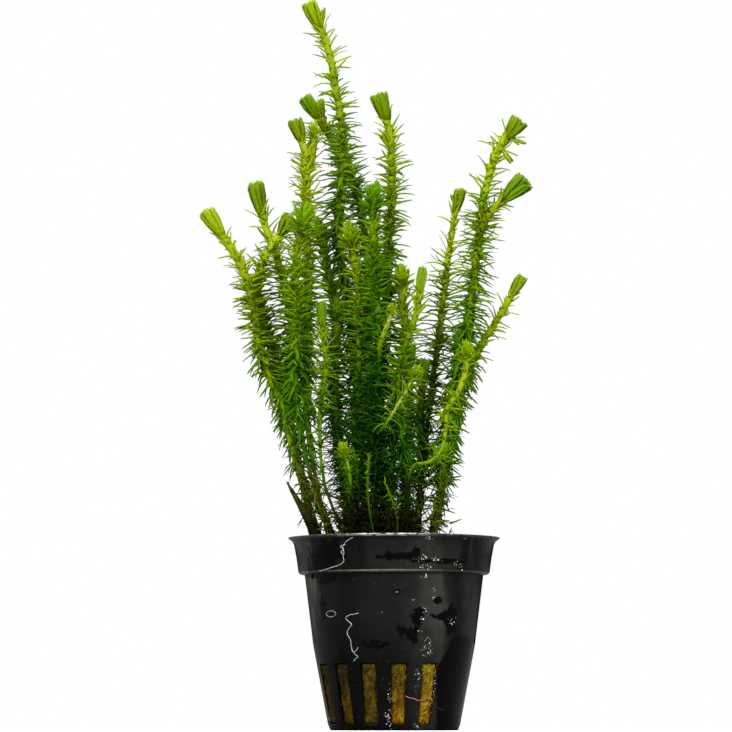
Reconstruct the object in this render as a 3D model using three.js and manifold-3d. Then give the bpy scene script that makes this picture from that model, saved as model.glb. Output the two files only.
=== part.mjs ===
// A potted stream bogmoss: a bundle of leafy water-plant shoots rooted in a mineral wool plug,
// in a small slotted plastic pot. Millimetres, +Z up. The origin is the centre of the pot's
// underside, and the side that the pot is looked at from faces -Y.
//
// The shoots are drawn as they grow: a thin stem that carries a spiral of narrow leaves, with a
// tuft of young leaves at its tip. A leaf here is one four-sided spike, wider than the real one,
// and there is about one for every five of the real ones.
import * as THREE from "three";
import { mergeVertices } from "three/addons/utils/BufferGeometryUtils.js";
import Module from "manifold-3d";

const wasm = await Module();
wasm.setup();

const DEGREE = Math.PI / 180;
const MERGE_TOLERANCE = 1e-4;

// The pot, by its outside
const POT_HEIGHT = 48;
const RIM_RADIUS = 26.5;
const BAND_TOP_RADIUS = 25;
const BAND_FOOT_RADIUS = 23.9;
const BAND_FOOT_Z = 39.4;
const LIP_DEPTH = 1.8;
const WALL_TOP_RADIUS = 22.4;
const SLOTTED_TOP_RADIUS = 20.2;
const SLOTTED_TOP_Z = 21.4;
const BASE_RADIUS = 16.2;
const BASE_EDGE = 0.6;
const WALL = 0.8;
const BASE_THICKNESS = 1;
const POT_FACETS = 40;
const LIP_SWELL = 0.5;
const LIP_EDGE = 0.2;

// The wall's slots, in two groups that stand opposite each other
const SLOTS_IN_A_GROUP = 5;
const SLOT_PITCH = 23.6 * DEGREE;
const SLOT_GROUP_MIDDLES = [-20.3 * DEGREE, 159.7 * DEGREE];
const SLOT_FOOT_Z = 1.5;
const SLOT_TOP_Z = 16.5;
const SLOT_FOOT_WIDTH = 3.6;
const SLOT_TOP_WIDTH = 3.95;
const DRAINS = 5;
const DRAIN_WIDTH = 2.8;
const DRAIN_LENGTH = 7;
const DRAIN_MIDDLE_RADIUS = 9;

// The plug of mineral wool
const PLUG_TOP_Z = 44.5;
const PLUG_GAP = 0.4;
const PLUG_SHOULDER = 1;
const PLUG_FACETS = 30;
const SOCKET_DEPTH = 8;
const SOCKET_GAP = 0.3;
const SOCKET_FACETS = 6;

// The shoots
const STEM_RADIUS = 1;
const STEM_SIDES = 3;
const AXIS_STEP = 1.2;
const BARE_FOOT = 6;
const LEAF_LENGTH = 5;
const LEAF_PITCH = 3.9;
const LEAF_TURN = 37 * DEGREE;
const LEAF_STAGGER = 1.2;
const LEAF_RISE_AT_TIP = 45;
const LEAF_FALL_PER_MM = 1.7;
const LEAF_LOWEST = -45;
const TUFT_LENGTH = 7;
const TUFT_RADIUS = 1.9;
const TUFT_TEETH = 0.8;
const TUFT_THROAT = 0.4;
const BRANCH_START = 1;
const BRANCH_FOOT_RADIUS = 0.35;
const BRANCH_OFFSET = 2;
const BRANCH_UPWARD_SHARE = 0.3;

// A leaf is shortened until these places along it stay nearer to its own stem than to any other
const PROBES = [0.35, 0.6, 0.8, 1];
const NEIGHBOUR_GAP = 0.4;
const NEIGHBOURS_WITHIN = 2;
const SHORTEST_LEAF = 0.6;
const LEAF_TRIM = 0.85;

// Every shoot by the places that its stem passes, from the foot to the tip. A shoot with
// branch_of grows from another stem, at that stem's point nearest to the first place. bare is the
// length of leafless stem above the wool, leaf the leaves' length, and tuft the tuft's radius and
// length.
const ROOT_Z = PLUG_TOP_Z;
const SHOOTS = [
  {
    name: "shoot_tallest",
    tuft: [2.2, 8.5],
    path: [[-7, 4, ROOT_Z], [-8.5, 4, 76], [-11, 3, 104], [-14.2, 0, 125.4], [-12.6, -1, 146.7],
      [-14.6, -1, 161], [-16.8, -1, 172.2], [-21.8, -2, 183]],
  },
  {
    name: "shoot_high_left",
    tuft: [1.9, 7],
    path: [[-3.5, 8, ROOT_Z], [-6.2, 9, 78], [-6.6, 9, 118], [-9, 7, 135], [-14, 6, 146.8],
      [-17.6, 5, 152.3], [-22.6, 5, 160]],
  },
  {
    name: "shoot_high_left_fork",
    branch_of: "shoot_high_left",
    tuft: [1.3, 5],
    path: [[-17.6, 5, 150.8], [-18, 2.5, 154.3], [-18.3, 2, 159]],
  },
  {
    name: "shoot_left_column",
    bare: 10,
    tuft: [1.9, 7],
    path: [[-16, -5, ROOT_Z], [-18.5, -6, 57.5], [-21.2, -7, 73], [-22.2, -8, 88], [-21.3, -8, 110],
      [-22, -8, 130.5], [-22.6, -8, 145.2], [-25.8, -9, 151.8]],
  },
  {
    name: "shoot_left_column_fork",
    branch_of: "shoot_left_column",
    tuft: [1.2, 5],
    path: [[-22, -8, 138.6], [-20.6, -5.5, 142.6], [-20.2, -4.5, 147.8], [-20.3, -4.5, 152.3]],
  },
  {
    name: "shoot_right_column",
    tuft: [2.4, 8],
    path: [[-1.5, -4, ROOT_Z], [-3.4, -5, 78], [-2.6, -6, 100], [-1.2, -6, 122.3], [-0.5, -6, 138.6],
      [-1.2, -6, 149.8], [-4.4, -7, 158.8]],
  },
  {
    name: "shoot_middle_column",
    tuft: [2.8, 7],
    path: [[-5.5, -9.5, ROOT_Z], [-4.5, -12, 75], [-3.7, -13, 95], [-5.2, -13, 117.3], [-5.2, -13, 127.4],
      [-4.6, -13, 135.4]],
  },
  {
    name: "shoot_middle_fork",
    branch_of: "shoot_middle_column",
    leaf: 3,
    tuft: [1.3, 4],
    path: [[-3.8, -13, 92], [-3.3, -17, 95.5], [-1.6, -19, 100], [0, -19, 105]],
  },
  {
    name: "shoot_front_middle_fork",
    branch_of: "shoot_middle_column",
    leaf: 3,
    tuft: [1.7, 5],
    path: [[-4.5, -12, 72.5], [-1.5, -18.5, 76], [2.4, -20, 82.3], [4.6, -20, 86], [6.3, -20, 89.6]],
  },
  {
    name: "shoot_far_left",
    bare: 14,
    tuft: [2.3, 9],
    path: [[-18, -1.5, ROOT_Z], [-21.5, -3, 55], [-25, -4, 68], [-28.5, -5, 82], [-33.5, -5, 94.5],
      [-35.2, -5, 106], [-38, -5, 115.2], [-42.5, -5, 122.8], [-47.4, -5, 129.6]],
  },
  {
    name: "shoot_left_club",
    bare: 12,
    tuft: [2, 10],
    path: [[-14, 9, ROOT_Z], [-22, 8, 62], [-26.5, 6, 80], [-26.3, 5, 94], [-26, 5, 104],
      [-29.3, 5, 118.3], [-33, 5, 128.9], [-34, 5, 138.4]],
  },
  {
    name: "shoot_left_bow",
    bare: 14,
    tuft: [2.4, 6],
    path: [[-17.5, 3.5, ROOT_Z], [-22, 4, 60], [-26, 3, 78], [-28, 2, 89], [-31.8, 1, 99.5],
      [-34.4, 1, 109.6], [-33, 0, 117.3], [-29.5, -1, 122.8], [-25.8, -2, 128.6]],
  },
  {
    name: "shoot_left_inner",
    bare: 8,
    tuft: [2.8, 7],
    path: [[-14, -10.5, ROOT_Z], [-21, -13, 64], [-24.5, -14, 84], [-23.8, -14, 100], [-24.5, -14, 113.2],
      [-23.2, -14, 123.3], [-21.5, -14, 129.4]],
  },
  {
    name: "shoot_front_left",
    tuft: [1.3, 7],
    path: [[-11.5, -13, ROOT_Z], [-17.5, -15.5, 62], [-18.2, -17, 80], [-16.8, -17, 89], [-17.5, -17, 97],
      [-18, -17, 105.4]],
  },
  {
    name: "shoot_olive",
    tuft: [2.2, 6],
    path: [[-11.5, 0.5, ROOT_Z], [-13.5, -1, 70], [-15, -3, 90], [-14.3, -4, 100], [-14.2, -4, 107.6]],
  },
  {
    name: "shoot_back_left",
    tuft: [2.2, 6],
    path: [[-9, 12.5, ROOT_Z], [-14.5, 12, 72], [-15.4, 11, 91], [-14.6, 10, 104], [-16.4, 10, 115.2],
      [-19.5, 10, 129.4]],
  },
  {
    name: "shoot_middle_bright",
    tuft: [2.2, 8],
    path: [[-10.5, -4.5, ROOT_Z], [-10, -7, 72], [-8.5, -8, 98], [-9, -8, 113.2], [-10.5, -8, 120],
      [-11.3, -8, 126.8]],
  },
  {
    name: "shoot_centre_right",
    tuft: [1.8, 6],
    path: [[-0.5, -10, ROOT_Z], [-0.5, -10, 66], [1, -10, 84], [3, -10, 98], [2, -9.5, 106],
      [1.8, -9, 115.8]],
  },
  {
    name: "shoot_gap",
    tuft: [1.2, 8],
    path: [[4.5, -5.5, ROOT_Z], [2.8, -9, 62], [1.2, -14, 78], [1, -15.5, 86], [3, -16, 95],
      [5.2, -16, 102], [6.3, -15.5, 108], [6.4, -15, 114.4]],
  },
  {
    name: "shoot_gap_right",
    tuft: [1.3, 6],
    path: [[4.5, 8.5, ROOT_Z], [8.5, 9, 77], [11.2, 8, 98], [13.6, 7, 117.2], [15.4, 6, 129.4],
      [17.4, 6, 136.6]],
  },
  {
    name: "shoot_high_right",
    tuft: [2.6, 6.5],
    path: [[9, -2, ROOT_Z], [13.5, -3, 74], [18.2, -3, 99], [21, -3, 120.3], [22.8, -3, 134.5],
      [26.2, -3, 145.2], [32, -4, 152.6]],
  },
  {
    name: "shoot_high_right_fork",
    branch_of: "shoot_high_right",
    tuft: [2.9, 9],
    path: [[21.8, -3, 123.6], [23.8, -6, 128.6], [27.6, -7, 132.4], [33.4, -7.5, 136.9]],
  },
  {
    name: "shoot_right_inner",
    tuft: [1.6, 6],
    path: [[9, 8, ROOT_Z], [13, 8, 66], [15.4, 7, 86], [16.4, 6, 101]],
  },
  {
    name: "shoot_far_right",
    tuft: [1.5, 6],
    path: [[10, 3, ROOT_Z], [13.8, 3.5, 71], [18, 3, 87], [21.7, 3, 96], [27, 2, 104.6],
      [32.5, 2, 114]],
  },
  {
    name: "shoot_front_right",
    leaf: 4,
    tuft: [1.5, 5],
    path: [[4, -14.5, ROOT_Z], [3.2, -17, 57], [4.7, -18, 64.8], [9, -18.5, 66], [11.6, -18, 69],
      [12.7, -17, 75], [13.2, -15, 79.5], [15.6, -13, 83], [17.6, -12, 88.5], [17.9, -11.5, 96.4]],
  },
  {
    name: "shoot_low_right",
    leaf: 4,
    tuft: [1.2, 4],
    path: [[9.5, -8.5, ROOT_Z], [11.4, -8.5, 53.5], [12.4, -8.5, 61], [12.2, -8.5, 66], [13.2, -9, 71]],
  },
  {
    name: "shoot_small_bright",
    leaf: 3.2,
    tuft: [1.4, 4],
    path: [[-10.5, -17, ROOT_Z], [-11.4, -19, 54], [-10.9, -20.5, 62], [-11.9, -20.5, 66.6],
      [-13.1, -20.5, 70.6]],
  },
  {
    name: "shoot_small_beside",
    leaf: 2,
    tuft: [1.2, 4],
    path: [[-7.5, -14, ROOT_Z], [-9.4, -15, 57], [-9.2, -15.5, 64], [-10.5, -15.5, 70.3]],
  },
  {
    name: "shoot_bare_middle",
    leaf: 2,
    bare: 12,
    tuft: [1.2, 3],
    path: [[-4.5, -17.5, ROOT_Z], [-6.1, -18.5, 53.5], [-6.6, -19, 61], [-6, -19, 68.4]],
  },
  {
    name: "shoot_bare_right",
    leaf: 2,
    bare: 10,
    tuft: [1.2, 2.5],
    path: [[0.6, -17.5, ROOT_Z], [0.6, -17.5, 52], [-0.8, -18.5, 56.9], [-2.7, -18.5, 61.5]],
  },
  {
    name: "old_stem",
    leaf: 2,
    bare: 8,
    tuft: [1.2, 3],
    path: [[-18.5, -8.5, ROOT_Z], [-20.5, -9, 50.5], [-23.5, -9, 56], [-27, -9, 62]],
  },
  {
    name: "shoot_back_middle",
    path: [[2.2, 14.5, ROOT_Z], [3.2, 16, 64], [4, 17, 80], [4, 17, 98]],
  },
  {
    name: "shoot_back_right",
    path: [[6.4, 2.5, ROOT_Z], [6.6, 2, 60], [6.8, 1.5, 76], [7.2, 1.5, 93]],
  },
];

// A closed three.js geometry as a manifold-3d solid, and back
function toSolid(geometry) {
  const bare = geometry.clone();
  bare.deleteAttribute("normal");
  bare.deleteAttribute("uv");
  const merged = mergeVertices(bare, MERGE_TOLERANCE);
  return new wasm.Manifold(
    new wasm.Mesh({
      numProp: 3,
      vertProperties: merged.attributes.position.array,
      triVerts: new Uint32Array(merged.index.array),
    }),
  );
}

function toGeometry(solid) {
  const mesh = solid.getMesh();
  const geometry = new THREE.BufferGeometry();
  geometry.setAttribute("position", new THREE.BufferAttribute(mesh.vertProperties, 3));
  geometry.setIndex(new THREE.BufferAttribute(mesh.triVerts, 1));
  geometry.computeVertexNormals();
  return geometry;
}

// A closed profile of [radius, height] points, turned about +Z
function turned(profile, facets) {
  const points = profile.map(([r, z]) => new THREE.Vector2(r, z));
  return new THREE.LatheGeometry(points, facets).rotateX(Math.PI / 2);
}

// An outline drawn in X and Y, pushed up by a height
function pushedUp(points, height) {
  const shape = new THREE.Shape(points.map(([x, y]) => new THREE.Vector2(x, y)));
  return new THREE.ExtrudeGeometry(shape, { depth: height, bevelEnabled: false });
}

// The inside of the pot's wall below its band, as a radius
function potInnerRadius(z) {
  const { mapLinear } = THREE.MathUtils;
  const outside =
    z < SLOTTED_TOP_Z
      ? mapLinear(z, 0, SLOTTED_TOP_Z, BASE_RADIUS, SLOTTED_TOP_RADIUS)
      : mapLinear(z, SLOTTED_TOP_Z, BAND_FOOT_Z, SLOTTED_TOP_RADIUS, WALL_TOP_RADIUS);
  return outside - WALL;
}

// One slot's cutter: a tapering window through the wall, at an angle from -Y towards +X
function slotCutter(angle) {
  const low = SLOT_FOOT_WIDTH / 2;
  const high = SLOT_TOP_WIDTH / 2;
  const window = pushedUp(
    [[-low, SLOT_FOOT_Z], [low, SLOT_FOOT_Z], [high, SLOT_TOP_Z], [-high, SLOT_TOP_Z]],
    RIM_RADIUS - DRAIN_MIDDLE_RADIUS,
  );
  return toSolid(window.rotateX(Math.PI / 2).translate(0, -DRAIN_MIDDLE_RADIUS, 0).rotateZ(angle));
}

// One drain's cutter: an oblong that passes right through the base
function drainCutter(angle) {
  const slab = new THREE.BoxGeometry(DRAIN_WIDTH, DRAIN_LENGTH, 4 * BASE_THICKNESS);
  return toSolid(slab.translate(0, -DRAIN_MIDDLE_RADIUS, 0).rotateZ(angle));
}

function potGeometry() {
  const bandInnerFoot = BAND_FOOT_RADIUS - WALL;
  const profile = [
    [0, 0],
    [BASE_RADIUS - BASE_EDGE, 0],
    [BASE_RADIUS, BASE_EDGE],
    [SLOTTED_TOP_RADIUS, SLOTTED_TOP_Z],
    [WALL_TOP_RADIUS, BAND_FOOT_Z - BASE_EDGE],
    [BAND_FOOT_RADIUS - BASE_EDGE, BAND_FOOT_Z - BASE_EDGE],
    [BAND_FOOT_RADIUS, BAND_FOOT_Z],
    [BAND_TOP_RADIUS, POT_HEIGHT - LIP_DEPTH],
    [BAND_TOP_RADIUS + LIP_SWELL, POT_HEIGHT - LIP_DEPTH / 2],
    [RIM_RADIUS, POT_HEIGHT - LIP_EDGE],
    [RIM_RADIUS - LIP_EDGE, POT_HEIGHT],
    [BAND_TOP_RADIUS - LIP_EDGE, POT_HEIGHT - LIP_DEPTH / 3],
    [BAND_TOP_RADIUS - WALL, POT_HEIGHT - LIP_DEPTH],
    [bandInnerFoot, BAND_FOOT_Z + WALL],
    [potInnerRadius(BAND_FOOT_Z), BAND_FOOT_Z + WALL / 2],
    [potInnerRadius(SLOTTED_TOP_Z), SLOTTED_TOP_Z],
    [potInnerRadius(BASE_THICKNESS), BASE_THICKNESS],
    [0, BASE_THICKNESS],
  ];
  let pot = toSolid(turned(profile, POT_FACETS));
  for (const middle of SLOT_GROUP_MIDDLES) {
    for (let i = 0; i < SLOTS_IN_A_GROUP; i++) {
      const steps = i - (SLOTS_IN_A_GROUP - 1) / 2;
      pot = pot.subtract(slotCutter(middle + steps * SLOT_PITCH));
    }
  }
  for (let i = 0; i < DRAINS; i++) {
    pot = pot.subtract(drainCutter((i * 2 * Math.PI) / DRAINS));
  }
  return toGeometry(pot);
}

// The plug, with a socket for every stem that is rooted in it
function plugGeometry(rootPoints) {
  const bandRadius = BAND_FOOT_RADIUS - WALL - PLUG_GAP;
  const foot = BASE_THICKNESS + PLUG_GAP;
  const profile = [
    [0, foot],
    [potInnerRadius(foot) - PLUG_GAP - PLUG_SHOULDER, foot],
    [potInnerRadius(foot + PLUG_SHOULDER) - PLUG_GAP, foot + PLUG_SHOULDER],
    [potInnerRadius(SLOTTED_TOP_Z) - PLUG_GAP, SLOTTED_TOP_Z],
    [potInnerRadius(BAND_FOOT_Z) - PLUG_GAP, BAND_FOOT_Z],
    [bandRadius, BAND_FOOT_Z + 2 * PLUG_SHOULDER],
    [bandRadius + PLUG_GAP / 2, PLUG_TOP_Z - PLUG_SHOULDER],
    [bandRadius - PLUG_SHOULDER, PLUG_TOP_Z],
    [0, PLUG_TOP_Z],
  ];
  let plug = toSolid(turned(profile, PLUG_FACETS));
  const radius = (STEM_RADIUS + SOCKET_GAP) / Math.cos(Math.PI / SOCKET_FACETS);
  for (const [x, y] of rootPoints) {
    const socket = new THREE.CylinderGeometry(radius, radius, 2 * SOCKET_DEPTH, SOCKET_FACETS);
    plug = plug.subtract(toSolid(socket.rotateX(Math.PI / 2).translate(x, y, PLUG_TOP_Z)));
  }
  return toGeometry(plug);
}

// A stem's line: straight up out of its socket, or out of the side of the stem it grows from
function stemLine(shoot, lines) {
  const places = shoot.path.map((p) => new THREE.Vector3(...p));
  if (!shoot.branch_of) {
    const sunk = places[0].clone().setZ(PLUG_TOP_Z - SOCKET_DEPTH + SOCKET_GAP);
    return new THREE.CatmullRomCurve3([sunk, ...places], false, "centripetal");
  }
  const parent = lines.get(shoot.branch_of).points;
  const nearest = parent.reduce((a, b) => (a.distanceTo(places[0]) < b.distanceTo(places[0]) ? a : b));
  const away = places[1].clone().sub(nearest);
  away.z *= BRANCH_UPWARD_SHARE;
  const start = nearest.clone().add(away.setLength(BRANCH_OFFSET));
  return new THREE.CatmullRomCurve3([start, ...places.slice(1)], false, "centripetal");
}

// How far a leaf rises from square to its stem, by its distance from the shoot's tip, in degrees
function leafRise(fromTip) {
  return Math.max(LEAF_RISE_AT_TIP - LEAF_FALL_PER_MM * fromTip, LEAF_LOWEST);
}

// Above the rim, or inside it and above the plug
function clearOfPot(p) {
  const inside = Math.hypot(p.x, p.y) < BAND_FOOT_RADIUS - WALL - NEIGHBOUR_GAP;
  return p.z > POT_HEIGHT + NEIGHBOUR_GAP || (inside && p.z > PLUG_TOP_Z + NEIGHBOUR_GAP);
}

// The longest leaf, up to a length, that stays nearer to its own stem than to any other
function clearLength(foot, direction, length, own, others) {
  const reach = (points, at) => {
    let least = Infinity;
    for (const p of points) least = Math.min(least, p.distanceToSquared(at));
    return Math.sqrt(least);
  };
  const near = others.filter((p) => p.distanceTo(foot) < NEIGHBOURS_WITHIN * (length + STEM_RADIUS));
  const probe = new THREE.Vector3();
  for (let tried = length; tried > SHORTEST_LEAF; tried *= LEAF_TRIM) {
    const clear = PROBES.every((share) => {
      probe.copy(direction).multiplyScalar(tried * share).add(foot);
      const room = NEIGHBOUR_GAP + STEM_RADIUS * (1 - share);
      return clearOfPot(probe) && reach(near, probe) > reach(own, probe) + room;
    });
    if (clear) return tried;
  }
  return 0;
}

// One shoot as a closed surface: a three-sided stem whose sides between two rings are leaves,
// and a jagged six-sided tuft at the tip
function shootGeometry(shoot, lines) {
  const { curve, points } = lines.get(shoot.name);
  const others = [...lines].filter(([name]) => name !== shoot.name).flatMap(([, line]) => line.points);
  const [tuftRadius, tuftLength] = shoot.tuft ?? [TUFT_RADIUS, TUFT_LENGTH];
  const length = curve.getLength();
  const leafy = length - tuftLength;
  const rings = Math.max(2, Math.round(leafy / LEAF_PITCH));
  const bareUntil = shoot.branch_of ? BRANCH_START : SOCKET_DEPTH + (shoot.bare ?? BARE_FOOT);
  const frames = curve.computeFrenetFrames(rings * 4, false);
  const frameAt = (distance) => {
    const index = Math.round((distance / length) * rings * 4);
    return [frames.normals[index], frames.binormals[index], frames.tangents[index]];
  };
  const around = (distance, angle, radius, rise = 0) => {
    const [normal, binormal, tangent] = frameAt(distance);
    return curve
      .getPointAt(distance / length)
      .addScaledVector(normal, radius * Math.cos(angle))
      .addScaledVector(binormal, radius * Math.sin(angle))
      .addScaledVector(tangent, rise);
  };

  const vertices = [];
  const triangles = [];
  const vertex = (p) => vertices.push(p.x, p.y, p.z) / 3 - 1;
  const triangle = (a, b, c) => triangles.push(a, b, c);
  const step = (2 * Math.PI) / STEM_SIDES;

  const ringAt = (index) => {
    const distance = (leafy * index) / rings;
    const footRadius = shoot.branch_of ? BRANCH_FOOT_RADIUS : STEM_RADIUS;
    const radius = index === 0 ? footRadius : STEM_RADIUS;
    return Array.from({ length: STEM_SIDES }, (_, side) =>
      vertex(around(distance, index * LEAF_TURN + side * step, radius)),
    );
  };

  let ring = ringAt(0);
  for (let side = 2; side < STEM_SIDES; side++) triangle(ring[0], ring[side], ring[side - 1]);
  for (let index = 1; index <= rings; index++) {
    const next = ringAt(index);
    const middle = (leafy * (index - 0.5)) / rings;
    for (let side = 0; side < STEM_SIDES; side++) {
      const other = (side + 1) % STEM_SIDES;
      const [a, b, c, d] = [ring[side], ring[other], next[other], next[side]];
      const angle = (index - 0.5) * LEAF_TURN + (side + 0.5) * step;
      const stagger = (side - 1) * LEAF_STAGGER;
      const foot = around(middle, angle, STEM_RADIUS * Math.cos(step / 2), stagger);
      const rise = leafRise(length - middle) * DEGREE;
      const outward = STEM_RADIUS * Math.cos(step / 2) + Math.cos(rise);
      const direction = around(middle, angle, outward, Math.sin(rise) + stagger).sub(foot).normalize();
      const wanted = middle < bareUntil ? 0 : (shoot.leaf ?? LEAF_LENGTH);
      const grown = wanted && clearLength(foot, direction, wanted, points, others);
      if (grown) {
        const apex = vertex(foot.addScaledVector(direction, grown));
        triangle(a, b, apex);
        triangle(b, c, apex);
        triangle(c, d, apex);
        triangle(d, a, apex);
      } else {
        triangle(a, b, c);
        triangle(a, c, d);
      }
    }
    ring = next;
  }

  const turn = rings * LEAF_TURN;
  const tuftRing = (distance, radius, teeth) =>
    Array.from({ length: 2 * STEM_SIDES }, (_, i) =>
      vertex(around(distance, turn + (i * step) / 2, radius, i % 2 ? -teeth : teeth)),
    );
  const throat = tuftRing(leafy + tuftLength * TUFT_THROAT, (STEM_RADIUS + tuftRadius) / 2, 0);
  const brim = tuftRing(length - TUFT_TEETH, tuftRadius, TUFT_TEETH);
  const heart = vertex(around(length - 2 * TUFT_TEETH, 0, 0));
  for (let i = 0; i < 2 * STEM_SIDES; i++) {
    const j = (i + 1) % (2 * STEM_SIDES);
    const lower = ring[Math.floor(i / 2)];
    const upper = ring[Math.floor(j / 2)];
    triangle(lower, throat[j], throat[i]);
    if (i % 2) triangle(lower, upper, throat[j]);
    triangle(throat[i], throat[j], brim[j]);
    triangle(throat[i], brim[j], brim[i]);
    triangle(brim[i], brim[j], heart);
  }

  const geometry = new THREE.BufferGeometry();
  geometry.setAttribute("position", new THREE.Float32BufferAttribute(vertices, 3));
  geometry.setIndex(triangles);
  geometry.computeVertexNormals();
  return geometry;
}

function paint(r, g, b, roughness) {
  return new THREE.MeshStandardMaterial({ color: new THREE.Color(r, g, b), roughness, metalness: 0 });
}

function named(name, geometry, material) {
  const mesh = new THREE.Mesh(geometry, material);
  mesh.name = name;
  return mesh;
}

const lines = new Map();
for (const shoot of SHOOTS) {
  const curve = stemLine(shoot, lines);
  const points = curve.getSpacedPoints(Math.ceil(curve.getLength() / AXIS_STEP));
  lines.set(shoot.name, { curve, points });
}

const blackPlastic = paint(0.03, 0.03, 0.03, 0.35);
const mineralWool = paint(0.42, 0.33, 0.07, 0.95);
const leafGreen = paint(0.16, 0.36, 0.02, 0.5);

const plant = new THREE.Group();
plant.add(named("pot", potGeometry(), blackPlastic));
const roots = SHOOTS.filter((shoot) => !shoot.branch_of).map((shoot) => shoot.path[0]);
plant.add(named("mineral_wool_plug", plugGeometry(roots), mineralWool));
for (const shoot of SHOOTS) plant.add(named(shoot.name, shootGeometry(shoot, lines), leafGreen));

export default plant;
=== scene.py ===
import math

import bmesh
import bpy
import numpy as np
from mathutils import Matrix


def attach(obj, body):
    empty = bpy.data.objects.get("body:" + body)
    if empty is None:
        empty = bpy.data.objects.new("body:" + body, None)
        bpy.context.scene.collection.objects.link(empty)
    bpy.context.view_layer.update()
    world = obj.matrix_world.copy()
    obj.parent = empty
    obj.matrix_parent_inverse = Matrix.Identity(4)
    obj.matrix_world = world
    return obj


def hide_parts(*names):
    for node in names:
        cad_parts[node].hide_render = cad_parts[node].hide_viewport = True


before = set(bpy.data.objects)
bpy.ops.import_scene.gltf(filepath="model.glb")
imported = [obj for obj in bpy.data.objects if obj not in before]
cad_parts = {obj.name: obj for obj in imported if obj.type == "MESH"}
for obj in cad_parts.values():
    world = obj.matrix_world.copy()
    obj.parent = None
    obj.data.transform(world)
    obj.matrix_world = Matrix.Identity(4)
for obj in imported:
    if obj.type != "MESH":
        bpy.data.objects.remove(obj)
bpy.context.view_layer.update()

# Lengths below are written in millimetres and turned into metres by MM where a mesh is made.
MM = 0.001
GOLDEN_ANGLE = math.radians(137.508)

# The camera: level with the pot's foot and a metre away, aimed at the middle of the photograph's frame
PHOTO_PIXELS = 732
PIXELS_PER_MM = 4.0
CAMERA_DISTANCE = 1000.0
CAMERA_X = -7.0
CAMERA_Z = 3.0
AIM_Z = 91.1
SENSOR_WIDTH = 36.0
CLIP_END = 20.0

# Floor and lamps, in metres and watts: (name, place, size, power)
FLOOR_RADIUS = 0.6
FLOOR_SIDES = 64
FLOOR_SEEN = (0.9, 0.9, 0.9, 1)
FLOOR_AS_LIGHT = (0.1, 0.1, 0.1, 1)
LAMP_TARGET = (0, 0, 0.1)
LAMPS = [
    ("key", (-0.55, -0.95, 0.7), 0.7, 24.0),
    ("fill", (0.85, -0.9, 0.5), 0.7, 14.0),
    ("top", (0.1, 0.3, 1.2), 0.8, 20.0),
]
# How bright the world's light is from the front, and how much more from behind and from above
WORLD_FRONT = 0.42
WORLD_BEHIND = 0.75
WORLD_ABOVE = 0.6

# The pot, by its outside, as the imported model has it
POT_HEIGHT = 48.0
RIM_RADIUS = 26.5
BAND_TOP_RADIUS = 25.0
BAND_FOOT_RADIUS = 23.9
BAND_FOOT_Z = 39.4
LIP_DEPTH = 1.8
WALL_TOP_RADIUS = 22.4
SLOTTED_TOP_RADIUS = 20.2
SLOTTED_TOP_Z = 21.4
BASE_RADIUS = 16.2
BASE_EDGE = 0.6
WALL = 0.8
BASE_THICKNESS = 1.0
SLOTS_IN_A_GROUP = 5
SLOT_PITCH = 23.6
SLOT_GROUP_MIDDLES = (-20.3, 159.7)
SLOT_FOOT_Z = 1.5
SLOT_TOP_Z = 16.5
SLOT_WIDTH_DEGREES = 12.2
DRAINS = 5
DRAIN_WIDTH = 2.8
DRAIN_LENGTH = 7.0
DRAIN_MIDDLE_RADIUS = 9.0
PLUG_TOP_Z = 44.5
PLUG_GAP = 0.4

# How grey the dried film and painted reflections make the pot's front, as (x, grey) across the body and
# across the band
# The lighter strips near both edges and right of the middle are the painted reflections
BODY_GREYS = [
    (-22.4, 0.06), (-20.2, 0.045), (-18.8, 0.006), (-12, 0.0035), (-8, 0.005), (0, 0.0065), (4, 0.010),
    (8.5, 0.028), (11.5, 0.034), (13, 0.011), (16, 0.005), (18.2, 0.016), (20.5, 0.018), (22.4, 0.006),
]
BAND_GREYS = [
    (-26, 0.008), (-24.5, 0.026), (-21.6, 0.022), (-20.6, 0.005), (-12.5, 0.005), (-11.4, 0.003),
    (-8.2, 0.0035), (-6.4, 0.009), (0, 0.010), (4, 0.014), (8.5, 0.020), (11, 0.017), (13, 0.013),
    (15.6, 0.012), (16.4, 0.003), (18.2, 0.003), (19, 0.014), (20.4, 0.003), (21.5, 0.005), (23, 0.012),
    (25, 0.006),
]
# Painted shade: the dark right side below, bounded by a slanting line from its top to its foot, as (x, z)
SHADED_SIDE_TOP = (14.8, 24.0)
SHADED_SIDE_FOOT = (10.0, 15.0)
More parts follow.
